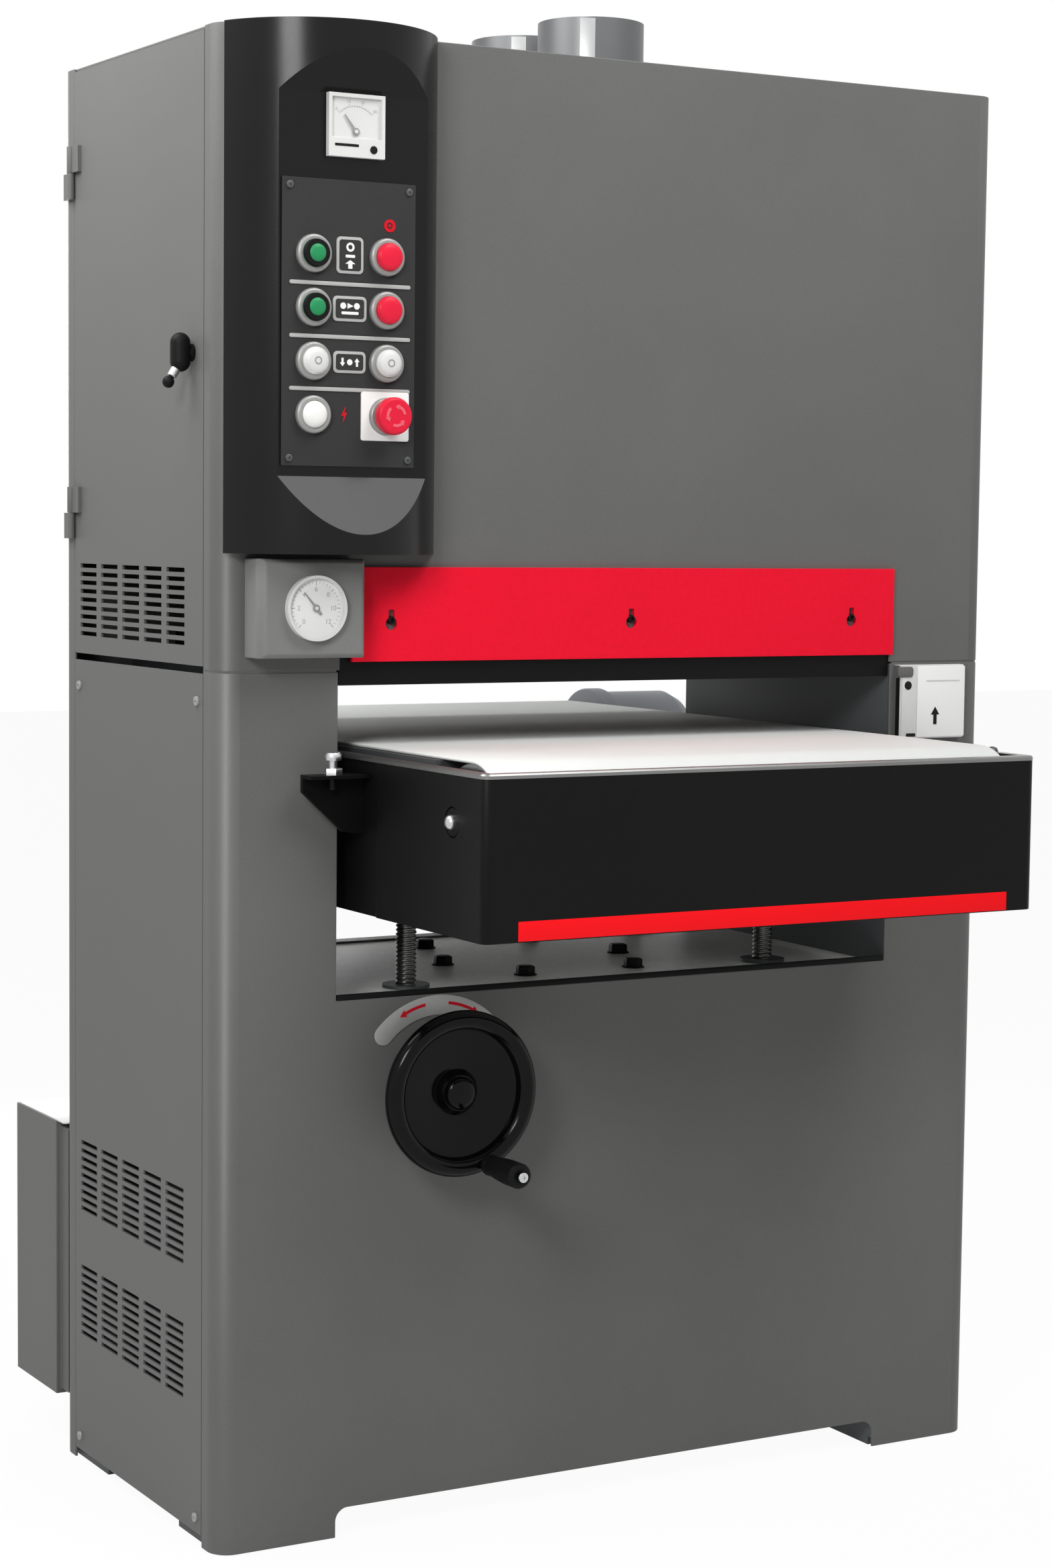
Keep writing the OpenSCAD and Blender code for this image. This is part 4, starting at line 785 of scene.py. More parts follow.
@dataclass
class Cabinet:
    """Fasteners, lips and small plates of the cabinet."""

    half_width: float = 0.512
    half_depth: float = 0.2275
    corner_r: float = 0.025
    opening_x: float = 0.372
    side_y: float = 0.1865
    low_z: float = 0.031
    seam_z: float = 0.966
    top_z: float = 1.65
    screw_y: float = 0.172
    screw_r: float = 0.0055
    screw_h: float = 0.0028
    rear_screw_x: float = 0.47
    rear_screw_zs: Tuple[float, ...] = (0.45, 0.8, 1.1, 1.36, 1.62)
    guard_y: float = -0.2325
    keyhole_pitch: float = 0.308
    keyhole_z: float = 1.0182
    deck_z: float = 0.602
    deck_bolts: Tuple[Pair, ...] = (
        (-0.1227, -0.0122), (-0.0741, -0.1264), (0.0741, -0.1264), (0.1227, -0.0122), (-0.0741, 0.1264),
        (0.0741, 0.1264))
    latch_ball: Triple = (-0.53978, -0.157, 1.27595)
    arm_lean: float = 32.0

    def build(self) -> None:
        """Add every piece, from the panels' screws to the black strip of painted shade along the sill."""
        self._panel_screws()
        self._guard_bolts()
        self._deck_bolts()
        self._box_cover_and_highlight()
        self._latch_sleeve()
        self._seam_lip()
        self._sill_painted_shade()

    def _panel_screws(self) -> None:
        """Add the screws of both sides and of the rear panel."""
        base = (self.low_z, self.seam_z - 0.032)
        head = (self.seam_z + 0.036, self.top_z - 0.03)
        rows = ((Side.LEFT, -self.half_width, base), (Side.RIGHT, self.half_width, base + head))
        screws = Shell()
        for side, x, heights in rows:
            for y in (-self.screw_y, self.screw_y):
                for z in heights:
                    screws.screw(side.at(x, y, z), self.screw_r, self.screw_h)
        for x in (-self.rear_screw_x, self.rear_screw_x):
            for z in self.rear_screw_zs:
                screws.screw(Side.REAR.at(x, self.half_depth, z), self.screw_r, self.screw_h)
        screws.piece("panel_screws", "cabinet", Finishes.CHROME, "bright_steel")

    def _guard_bolts(self) -> None:
        """Add a round bolt in each of the guard's three keyholes."""
        profile = [(0.0046, 0.0), (0.0046, 0.004), (0.0042, 0.005), (0.0026, 0.0054), (0.0024, 0.003)]
        middle = Side.FRONT.at(0.0, self.guard_y + 0.0045, self.keyhole_z + 0.004)
        bolts = Shell()
        for i in (-1, 0, 1):
            bolts.lathe(middle.moved(i * self.keyhole_pitch), profile)
        bolts.piece("guard_bolts", "cabinet", Finishes.MATTE_BLACK, "matte_black")

    def _deck_bolts(self) -> None:
        """Add the hexagon bolts on the deck."""
        bolts = Shell()
        for x, y in self.deck_bolts:
            bolts.bolt(Side.TOP.at(x, y, self.deck_z), 0.02, 0.010)
        bolts.piece("deck_bolts", "cabinet", Finishes.MATTE_BLACK, "matte_black")

    def _box_cover_and_highlight(self) -> None:
        """Add the pale cover on top of the box for the electrics, a little in from its edges; its pale colour
        partly paints the highlight that light from above puts on the box's top.
        """
        low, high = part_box("electrical_box")
        margin = 0.003
        top = Side.TOP.at((low.x + high.x) / 2, (low.y + high.y) / 2, high.z - 0.0002)
        outline = round_rect(high.x - low.x - margin, high.y - low.y - margin, 0.004)
        # the pale cover partly stands for a real top sheet and partly paints the highlight on the box's top
        lid = Shell().plate(top, outline, 0.0016, 0.0006)
        lid.piece("electrical_box_lid", "cabinet", Finishes.COVER_AND_HIGHLIGHT, "galvanised")

    def _latch_sleeve(self) -> None:
        """Add the bright sleeve on the latch's slanted arm: a short tube along the arm's direction."""
        lean = math.radians(self.arm_lean)
        along = np.array([math.sin(lean), 0.0, math.cos(lean)])
        foot = np.array(self.latch_ball) + 0.0068 * along
        place = Place(tuple(foot), (math.cos(lean), 0.0, -math.sin(lean)), (0.0, 1.0, 0.0))
        profile = [(0.0046, 0.0), (0.0052, 0.0006), (0.0052, 0.0124), (0.0046, 0.013)]
        sleeve = Shell().lathe(place, profile, 24)
        sleeve.piece("latch_sleeve", "latch", Finishes.STEEL, "bright_steel")

    def _seam_lip(self) -> None:
        """Back the seam of base and head with a folded lip: two lines set in from the faces by different
        depths run from the opening round the front corner, and at the right along the side, and close to a
        strip."""
        turn = np.radians(np.linspace(-90.0, 0.0, 10))
        arc = np.stack([np.cos(turn), np.sin(turn)], axis=-1)
        middle = np.array([self.half_width - self.corner_r, self.corner_r - self.half_depth])
        lip = Shell()
        for way, end in ((-1.0, -self.side_y), (1.0, self.side_y)):
            lines = []
            for depth in (0.0008, 0.0024):
                start, stop = [self.opening_x, depth - self.half_depth], [self.half_width - depth, end]
                lines.append(np.concatenate([[start], middle + (self.corner_r - depth) * arc, [stop]]))
            strip = np.concatenate([lines[0], lines[1][::-1]]) * np.array([way, 1.0])
            lip.plate(Side.TOP.at(0.0, 0.0, self.seam_z - 0.0025), strip, 0.005)
        lip.piece("seam_lip", "cabinet", Finishes.CABINET, "cabinet_grey")

    def _sill_painted_shade(self) -> None:
        """Add a thin black strip along the opening's sill: painted shade for the deck's front face, which
        lies in shade there.
        """
        # painted shade: the black strip stands in for the shaded front face of the deck
        sill = Side.FRONT.at(0.0, -self.half_depth + 0.0055, self.deck_z + 0.0057)
        shade_strip = Shell().plate(sill, round_rect(0.738, 0.0064, 0.0015), 0.0055, 0.0012)
        shade_strip.piece("sill_edging", "cabinet", Finishes.RUBBER, "black_rubber")


@dataclass
class PassagePlate:
    """White plate beside the work opening, with an arrow that shows the board's thickness setting."""

    x0: float = 0.376
    x1: float = 0.474
    z0: float = 0.8755
    z1: float = 0.9645
    y: float = -0.2395
    front_y: float = -0.2275
    strip_w: float = 0.026
    face_t: float = 0.0012
    strip_t: float = 0.0006

    def spot(self, x: float, z: float, out: float = 0.0) -> Place:
        """Make a place on the plate's front, some way out from it."""
        return Side.FRONT.at(x, self.y - out, z)

    @property
    def mid_z(self) -> float:
        """Height of the plate's middle."""
        return (self.z0 + self.z1) / 2

    @property
    def high(self) -> float:
        """How tall the white face is."""
        return self.z1 - self.z0 - 0.003

    def build(self) -> None:
        """Add the plate's face and strip, the dark marks with the painted shade at the side, and the clamp
        with the grey side.
        """
        self._face()
        self._marks()
        self._clamp()

    def _face(self) -> None:
        """Add the white face, and the pale strip beside it with the line across the face."""
        fold = self.x0 + self.strip_w
        wide = self.x1 - fold - 0.0008
        middle = self.spot(fold + wide / 2, self.mid_z)
        face = Shell().plate(middle, round_rect(wide, self.high, 0.002), self.face_t, 0.0004)
        face.piece("passage_face", "cabinet", Finishes.DIAL, "white_plastic")
        beside = self.spot(fold - 0.0118, self.mid_z - 0.0055)
        strip = Shell().plate(beside, round_rect(0.0225, self.high - 0.011, 0.002), 0.0008, 0.0003)
        line = self.spot(fold + 0.038, self.z1 - 0.0195, self.face_t)
        strip.plate(line, round_rect(0.05, 0.0018, 0.0005), 0.0002)
        strip.piece("passage_strip", "cabinet", Finishes.PALE_STRIP, "white_plastic")

    def _marks(self) -> None:
        """Add the dark marks: the strip's hole and slot, the face's arrow, and a dark band of painted shade
        on the left side, where the plate meets the column.
        """
        hole = self.spot(self.x0 + 0.0119, self.z1 - 0.0245, self.strip_t)
        marks = Shell().lathe(hole, [(0.0052, 0.0), (0.0052, 0.0006), (0.0048, 0.0009)])
        sign = self.spot(self.x0 + self.strip_w + 0.0269, self.mid_z - 0.017, self.face_t)
        marks.plate(sign, arrow(0.0125, 0.0215), 0.0003)
        slot = self.spot(self.x0 + 0.017, self.z0 + 0.0045, self.strip_t)
        marks.plate(slot, round_rect(0.014, 0.004, 0.0015), 0.0006)
        # painted shade: a dark band on the plate's left side, where the shade between plate and column falls
        gap_shade = Side.LEFT.at(self.x0, self.y + 0.0038, self.mid_z - 0.007)
        marks.plate(gap_shade, round_rect(0.0072, self.high - 0.014, 0.001), 0.0003)
        marks.piece("passage_marks", "cabinet", Finishes.INK, "matte_black")

    def _clamp(self) -> None:
        """Add the clamp at the strip's upper end and the grey cover on the plate's left side."""
        corner = self.spot(self.x0 + 0.0075, self.z1 - 0.0082, -0.0004)
        clamp = Shell().plate(corner, round_rect(0.0225, 0.0125, 0.0035), 0.0026, 0.001)
        side = Side.LEFT.at(self.x0, (self.y + self.front_y) / 2, self.mid_z)
        clamp.plate(side, round_rect(self.front_y - self.y - 0.0006, self.high + 0.002, 0.0005), 0.0002)
        clamp.piece("passage_clamp", "cabinet", Finishes.CABINET, "cabinet_grey")


@dataclass(frozen=True)
class PushButton:
    """A push-button: its body's name, its column left (-1) or right (1), its row and its cap's radius."""

    name: str
    column: int
    row: int
    cap_r: float


@dataclass
class ControlPedestal:
    """Trim of the control plate: screws, divider bars, symbol plates, lamp, button caps and stop plate."""

    middle_x: float = -0.387
    plate_y: float = -0.2835
    plate_z: float = 1.187
    plate_w: float = 0.156
    plate_h: float = 0.3
    screw_inset: float = 0.008
    button_x: float = 0.043
    bezel_y: float = -0.2905
    row_zs: Tuple[float, ...] = (1.241, 1.297, 1.353, 1.409)
    bar_zs: Triple = (1.268, 1.323, 1.3785)
    frame_sizes: Tuple[Pair, ...] = ((0.0382, 0.023), (0.0395, 0.0265), (0.0315, 0.0385))
    frame_t: float = 0.0012
    ground_t: float = 0.0002
    ink_t: float = 0.0003
    round_sign_x: float = 0.047
    round_sign_z: float = 1.4425
    stop_plate_x: float = 0.0425
    buttons: Tuple[PushButton, ...] = (
        PushButton("sander_start", -1, 3, 0.0094), PushButton("feed_start", -1, 2, 0.0094),
        PushButton("sander_stop", 1, 3, 0.0136), PushButton("feed_stop", 1, 2, 0.0136),
        PushButton("table_up", -1, 1, 0.0128), PushButton("table_down", 1, 1, 0.0128))

    def spot(self, x: float, z: float, out: float = 0.0) -> Place:
        """Make a place on the control plate at x from its middle, some way out from it."""
        return Side.FRONT.at(self.middle_x + x, self.plate_y - out, z)

    def build(self) -> None:
        """Add every piece of the trim."""
        self._plate_screws()
        self._divider_bars()
        self._symbols()
        self._red_signs()
        self._lamp()
        self._stop_plate()
        for button in self.buttons:
            self._cap(button)
        self._turn_marks()

    def _plate_screws(self) -> None:
        """Add a screw in each corner of the control plate."""
        x = self.plate_w / 2 - self.screw_inset
        low, high = self.plate_z + self.screw_inset, self.plate_z + self.plate_h - self.screw_inset
        screws = Shell()
        for side in (-1, 1):
            for z in (low, high):
                screws.screw(self.spot(side * x, z), 0.0042, 0.002)
        screws.piece("plate_screws", "cabinet", Finishes.IRON, "grey_iron")

    def _divider_bars(self) -> None:
        """Add the pale bars between the rows of buttons."""
        bars = Shell()
        for z in self.bar_zs:
            bars.plate(self.spot(0.001, z), round_rect(0.142, 0.0042, 0.0018), 0.0014, 0.0005)
        bars.piece("divider_bars", "cabinet", Finishes.PALE_INK, "chrome_ring")

    def _symbols(self) -> None:
        """Add the three symbol plates: belt loop, feed and table, as plain shapes in pale frames."""
        rims, grounds, signs = Shell(), Shell(), Shell()
        for z, (w, h) in zip(self.row_zs[1:], self.frame_sizes):
            rims.plate(self.spot(0.0, z), round_rect(w, h, 0.005), self.frame_t, 0.0004)
            ground = round_rect(w - 0.006, h - 0.006, 0.003)
            grounds.plate(self.spot(0.0, z, self.frame_t), ground, self.ground_t)
        belt, feed, table = self.row_zs[1:]
        wedge = np.array([[-0.003, -0.003], [0.004, 0.0], [-0.003, 0.003]])
        shapes = [
            (0.0, belt, ngon(0.0032, 20)),
            (0.0, feed - 0.0045, round_rect(0.02, 0.003, 0.001)),
            (0.0, feed + 0.003, wedge),
            (0.0, table + 0.0085, ring_band(0.0025, 0.0048, 24)),
            (0.0, table - 0.001, round_rect(0.011, 0.003, 0.001)),
            (0.0, table - 0.0095, arrow(0.012, 0.009)),
        ]
        for way in (-1, 1):
            shapes.append((way * 0.0085, belt, way * arrow(0.006, 0.009)))
            shapes.append((way * 0.008, feed + 0.003, ngon(0.0034, 20)))
        for x, z, outline in shapes:
            signs.plate(self.spot(x, z, self.frame_t + self.ground_t), outline, self.ink_t)
        rims.piece("symbol_frames", "cabinet", Finishes.PALE_INK, "white_plastic")
        grounds.piece("symbol_grounds", "cabinet", Finishes.CONTROL, "control_grey")
        signs.piece("symbols", "cabinet", Finishes.DIAL, "white_plastic")

    def _red_signs(self) -> None:
        """Add the round red sign at the top and the lightning flash beside the lamp."""
        spot = self.spot(self.round_sign_x, self.round_sign_z)
        red = Shell().plate(spot, ring_band(0.0034, 0.0068, 28), 0.0006)
        red.plate(spot, ngon(0.0016, 16), 0.0006)
        flash = np.array([[-0.1, -0.5], [0.4, 0.12], [0.06, 0.12], [0.25, 0.5], [-0.35, -0.08], [0.0, -0.08]])
        red.plate(self.spot(-0.006, self.row_zs[0] + 0.001), flash * np.array([0.009, 0.018]), 0.0005)
        red.piece("red_symbols", "cabinet", Finishes.RED_INK, "red_plastic")

    def _lamp(self) -> None:
        """Add the power lamp's domed lens."""
        spot = Side.FRONT.at(self.middle_x - self.button_x, self.bezel_y + 0.003, self.row_zs[0])
        lens = Shell().lathe(spot, [
            (0.0142, 0.0), (0.0142, 0.003), (0.0136, 0.0052), (0.0118, 0.0072), (0.0085, 0.0088),
            (0.004, 0.0096), (0.0008, 0.0098)])
        lens.piece("power_lamp", "cabinet", Finishes.LAMP, "white_plastic")

    def _stop_plate(self) -> None:
        """Add the pale plate behind the emergency stop's collar."""
        spot = self.spot(self.stop_plate_x, self.row_zs[0])
        plate = Shell().plate(spot, round_rect(0.057, 0.052, 0.0025), 0.0016, 0.0005)
        plate.piece("stop_plate", "cabinet", Finishes.DIAL, "white_plastic")

    def _cap(self, button: PushButton) -> None:
        """Add a button's domed cap, with a dark ring round a green one and a ring on a white one.

        Args:
            button: the push-button.
        """
        node = button.name + "_button"
        slot = SLOTS[node]
        x = self.middle_x + button.column * self.button_x
        face = Side.FRONT.at(x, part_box(node)[0].y, self.row_zs[button.row])
        dome = np.array([(1.0, -0.0002), (1.0, 0.0008), (0.93, 0.0017), (0.6, 0.0026), (0.1, 0.003)])
        cap = Shell().lathe(face, dome * np.array([button.cap_r, 1.0]))
        cap.piece(button.name + "_cap", button.name, Finishes.of_slot(slot), slot)
        if slot == "green_plastic":
            dark_ring = Shell().lathe(face, [
                (0.014525, -0.0045), (0.014525, -0.0012), (0.0142, 0.0004), (0.0138, 0.0008),
                (0.0104, 0.0008)], 96)
            dark_ring.piece(button.name + "_seal", button.name, Finishes.MATTE_BLACK, "matte_black")
        if slot == "white_plastic":
            mark = Shell().plate(face.moved(w=0.0027), ring_band(0.0028, 0.0042, 24), 0.0004)
            mark.piece(button.name + "_mark", button.name, Finishes.NEEDLE, "white_plastic")

    def _turn_marks(self) -> None:
        """Add three curved arrows on the emergency stop's head."""
        head = Side.FRONT.at(self.middle_x + self.button_x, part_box("estop_button")[0].y, self.row_zs[0])
        face = head.moved(w=-0.0002)
        marks = Shell()
        for start in (10, 130, 250):
            marks.plate(face, arc_band(0.0088, 0.0116, start, start + 62, 12), 0.0007)
            marks.plate(face, polar([0.0102, 0.0134, 0.007], [start + 86, start + 60, start + 60]), 0.0007)
        marks.piece("estop_turn_marks", "estop", Finishes.PALE_RED, "white_plastic")


@dataclass(frozen=True)
class Scale:
    """A dial's ticks and figures, by angles in degrees.

    first and step place the ticks, and every fifth one is long. long and short hold a tick's inner radius,
    outer radius and half angle. The figures start at figure_turn and go on clockwise by figure_step.
    """

    first: float
    step: float
    count: int
    long: Triple
    short: Triple
    figures: Tuple[str, ...]
    figure_turn: float
    figure_step: float
    figure_r: float
    figure_h: float
    ink_t: float = 0.0002

    def mark(self, marks: Shell, place: Place) -> None:
        """Add the ticks and figures to a shell.

        Args:
            marks: the shell that takes them.
            place: the dial's middle.
        """
        for i in range(self.count):
            inner, outer, half = self.short if i % 5 else self.long
            angle = self.first + self.step * i
            marks.plate(place, arc_band(inner, outer, angle - half, angle + half, 3), self.ink_t)
        for i, word in enumerate(self.figures):
            turn = math.radians(self.figure_turn - self.figure_step * i)
            middle = place.moved(self.figure_r * math.cos(turn), self.figure_r * math.sin(turn), 0.0001)
            marks.text(middle, word, self.figure_h)


@dataclass
class Instruments:
    """Faces of the pressure gauge and the ammeter."""

    gauge: Triple = (-0.417, -0.2685, 1.0365)
    gauge_r: float = 0.0318
    gauge_t: float = 0.0003
    gauge_scale: Scale = Scale(
        225.0, -9.0, 31, (0.0246, 0.029, 0.9), (0.0264, 0.029, 0.5), ("0", "2", "4", "6", "8", "10", "12"),
        225.0, 45.0, 0.0203, 0.0073)
    meter: Triple = (-0.381, -0.2835, 1.538)
    meter_front_y: float = -0.2875
    meter_foot_z: float = 1.5215
    meter_scale: Scale = Scale(
        45.0, 6.0, 16, (0.0262, 0.0296, 0.45), (0.0262, 0.028, 0.45), ("0", "10", "20", "30"),
        135.0, 30.0, 0.0318, 0.0046)

    def build(self) -> None:
        """Add both dials."""
        self._gauge_dial()
        self._meter_dial()

    def _gauge_dial(self) -> None:
        """Add the gauge's pale disc, with ticks over three quarters of a turn and figures."""
        spot = Side.FRONT.at(*self.gauge)
        r = self.gauge_r
        disc = Shell().lathe(spot, [(r, 0.0), (r, 0.0002), (r - 0.0002, self.gauge_t)], 64)
        disc.piece("gauge_dial", "cabinet", Finishes.FACE, "white_plastic")
        marks = Shell()
        self.gauge_scale.mark(marks, spot.moved(w=self.gauge_t))
        marks.piece("gauge_marks", "cabinet", Finishes.PALE_INK, "matte_black")

    def _meter_dial(self) -> None:
        """Add the ammeter's scale over a quarter turn with its base line, a bar and the zero screw."""
        spot = Side.FRONT.at(*self.meter)
        marks = Shell().plate(spot, arc_band(0.0262, 0.0266, 45, 135), 0.0002)
        self.meter_scale.mark(marks, spot)
        marks.piece("ammeter_scale", "cabinet", Finishes.PALE_INK, "matte_black")
        foot = Side.FRONT.at(self.meter[0], self.meter_front_y, self.meter_foot_z)
        low = Shell().plate(foot.moved(-0.012, 0.0018), round_rect(0.028, 0.0028, 0.0008), 0.0003)
        low.lathe(foot.moved(0.0195, -0.0015), [
            (0.0042, 0.0), (0.0042, 0.0006), (0.0036, 0.0012), (0.001, 0.0013)])
        low.piece("ammeter_foot_marks", "cabinet", Finishes.INK, "matte_black")


@dataclass
class FeedTable:
    """Stripe, edge trim with a painted highlight, shaft nuts and stop bolt of the feed table."""

    end_y: float = -0.5275
    half_width: float = 0.353
    corner_r: float = 0.0105
    rail_x: float = 0.35
    shaft_z: float = 0.822
    shaft_y: float = 0.459
    stripe_z: float = 0.7145
    trim_z: float = 0.8762
    trim_w: float = 0.0135
    stop: Triple = (-0.392, -0.2605, 0.857)

    def build(self) -> None:
        """Add every piece of the trim."""
        self._stripe()
        self._shaft_ends()
        self._trim_bolt()
        self._stop_bolt()
        self._trim_with_highlight()

    def _stripe(self) -> None:
        """Add the red stripe along the front cover."""
        spot = Side.FRONT.at(0.0015, self.end_y, self.stripe_z)
        stripe = Shell().plate(spot, round_rect(0.627, 0.0205, 0.0006), 0.0006, 0.0002)
        stripe.piece("table_stripe", "table", Finishes.STRIPE, "red_paint")

    def _shaft_ends(self) -> None:
        """Add a washer and a domed nut on both ends of the front roller's shaft."""
        washer = [(0.0152, 0.0), (0.0152, 0.0016), (0.0146, 0.0024), (0.0078, 0.0024)]
        nut = [(0.0079, 0.002), (0.0079, 0.0056), (0.0074, 0.0074), (0.0055, 0.0092), (0.003, 0.0101),
               (0.0006, 0.0104)]
        washers, nuts = Shell(), Shell()
        for side, x in ((Side.LEFT, -self.rail_x), (Side.RIGHT, self.rail_x)):
            spot = side.at(x, -self.shaft_y, self.shaft_z)
            washers.lathe(spot, washer)
            nuts.lathe(spot, nut)
        washers.piece("roller_washers", "idler_roller", Finishes.BLACK, "black_paint")
        nuts.piece("roller_nuts", "idler_roller", Finishes.STEEL, "bright_steel")

    def _trim_bolt(self) -> None:
        """Add the domed bolt on the trim at the table's front right."""
        spot = Side.TOP.at(self.rail_x - 0.005, -self.shaft_y, self.trim_z)
        bolt = Shell().lathe(spot, [
            (0.0066, 0.0), (0.0066, 0.0016), (0.0054, 0.0042), (0.003, 0.0056), (0.0006, 0.006)])
        bolt.piece("trim_bolt", "table", Finishes.IRON, "grey_iron")

    def _stop_bolt(self) -> None:
        """Add the stop bolt on its bracket: a hexagon nut, the shank and a rounded head."""
        foot = Side.TOP.at(*self.stop)
        stop = Shell().plate(foot.moved(w=0.0002), ngon(0.0105, 6, 0.4), 0.0072, 0.001)
        stop.lathe(foot.moved(w=0.006), [(0.0046, 0.0), (0.0046, 0.010)])
        stop.lathe(foot.moved(w=0.0155), [
            (0.009, 0.0), (0.0095, 0.001), (0.0095, 0.006), (0.0082, 0.0086), (0.0035, 0.0092)])
        stop.piece("stop_bolt", "table", Finishes.STEEL, "bright_steel")

    def _trim_with_highlight(self) -> None:
        """Run a thin trim round the table's top edge: the plan's outline with round corners, set out or in
        and raised by the steps of a small section. Its pale metal partly stands for the real lip and partly
        paints the highlight along the covers' top edge."""
        # the trim's pale metal partly paints the highlight along the covers' top edge
        top = self.trim_z
        steps = ((-0.0003, top - 0.0056), (0.0006, top - 0.0051), (0.0006, top - 0.0018), (-0.0009, top),
                 (-self.trim_w, top), (-self.trim_w, top - 0.001), (-0.0003, top - 0.001))
        plan = round_rect(2 * self.half_width, -2 * self.end_y, self.corner_r, 8)
        rings = [np.column_stack([inset(plan, -out), np.full(len(plan), z)]) for out, z in steps]
        trim = Shell().loop(Side.TOP.at(0.0, 0.0, 0.0), np.stack(rings))
        trim.piece("table_edge_trim", "table", Finishes.TRIM_AND_HIGHLIGHT, "bright_steel")


@dataclass
class LiftWheel:
    """Arc plate behind the handwheel, and the wheel's own fasteners."""

    axis_x: float = -0.244
    axis_z: float = 0.5015
    front_y: float = -0.2275
    hub_y: float = -0.2815
    pin: Triple = (-0.214928, -0.373, 0.421626)
    plate_radii: Pair = (0.08, 0.1022)
    plate_turns: Pair = (40.0, 138.0)
    plate_t: float = 0.0014
    mark_radius: float = 0.0935

    def build(self) -> None:
        """Add the arc plate with its two turn marks, the hub cap and the handle's screw."""
        spot = Side.FRONT.at(self.axis_x, self.front_y, self.axis_z)
        plate = Shell().plate(spot, arc_slot(*self.plate_radii, *self.plate_turns), self.plate_t, 0.0005)
        plate.piece("turn_plate", "cabinet", Finishes.ARC, "galvanised")
        face, r = spot.moved(w=self.plate_t), self.mark_radius
        marks = Shell()
        for start, end, foot, tip in ((62, 82, 62, 57), (100, 116, 116, 121)):
            marks.plate(face, arc_band(r - 0.0017, r + 0.0017, start, end, 20), 0.0003)
            marks.plate(face, polar([r, r + 0.0045, r - 0.0045], [tip, foot, foot]), 0.0003)
        marks.piece("turn_marks", "cabinet", Finishes.RED_INK, "red_plastic")
        hub = Shell().lathe(Side.FRONT.at(self.axis_x, self.hub_y, self.axis_z), [
            (0.0185, -0.0002), (0.0185, 0.003), (0.0176, 0.0052), (0.0145, 0.0074), (0.009, 0.0088),
            (0.0006, 0.0094)])
        hub.piece("hub_cap", "handwheel", Finishes.WHEEL, "black_paint")
        screw = Shell().screw(Side.FRONT.at(*self.pin), 0.0058, 0.0024)
        screw.piece("handle_screw", "handwheel", Finishes.STEEL, "bright_steel")


@dataclass
class DustPorts:
    """Lock seams and rolled beads of the two dust collars."""

    x: float = 0.067
    ys: Pair = (-0.012, 0.153)
    radius: float = 0.0635
    base_z: float = 1.65
    height: float = 0.075
    seam_turn: float = -124.0
    seam_half_turn: float = 8.0

    def build(self) -> None:
        """Add a lock seam down each collar and a rolled bead round its foot."""
        r, turn, half = self.radius, self.seam_turn, self.seam_half_turn
        band = arc_band(r - 0.0002, r + 0.0011, turn - half, turn + half, 10)
        bead = turned([(r + 0.004, 0.0), (r + 0.004, 0.0016), (r + 0.0012, 0.0024), (r - 0.0004, 0.0024),
                       (r - 0.0004, 0.0)], 64)
        seams = Shell()
        for y in self.ys:
            foot = Side.TOP.at(self.x, y, self.base_z)
            seams.plate(foot.moved(w=0.0005), band, self.height - 0.0025, 0.0003)
            seams.loop(foot, bead)
        seams.piece("collar_seams", "cabinet", Finishes.SEAM, "galvanised")


@dataclass(frozen=True)
class Lamp:
    """A soft light: its place, the point it looks at, its width in metres and its power in watts.

    tall is its height where that isn't the width. A light with mirrors is seen in those solids alone, as a
    reflection.
    """

    name: str
    place: Triple
    aim: Triple
    wide: float
    power: float
    tall: float = 0.0
    mirrors: Tuple[str, ...] = ()

    def build(self) -> None:
        """Hang the light so that its -Z looks at the aim."""
        data = bpy.data.lights.new(self.name, "AREA")
        data.shape, data.energy = "RECTANGLE", self.power
        data.size, data.size_y = self.wide, self.tall or self.wide
        thing = bpy.data.objects.new(self.name, data)
        if self.mirrors:
            group = bpy.data.collections.new(self.name + "_mirrors")
            for name in self.mirrors:
                group.objects.link(frame["nodes"][name])
            thing.light_linking.receiver_collection = group
            thing.visible_diffuse = thing.visible_camera = False
        thing.location = self.place
        thing.rotation_euler = (Vector(self.aim) - Vector(self.place)).to_track_quat("-Z", "Y").to_euler()
        bpy.context.scene.collection.objects.link(thing)


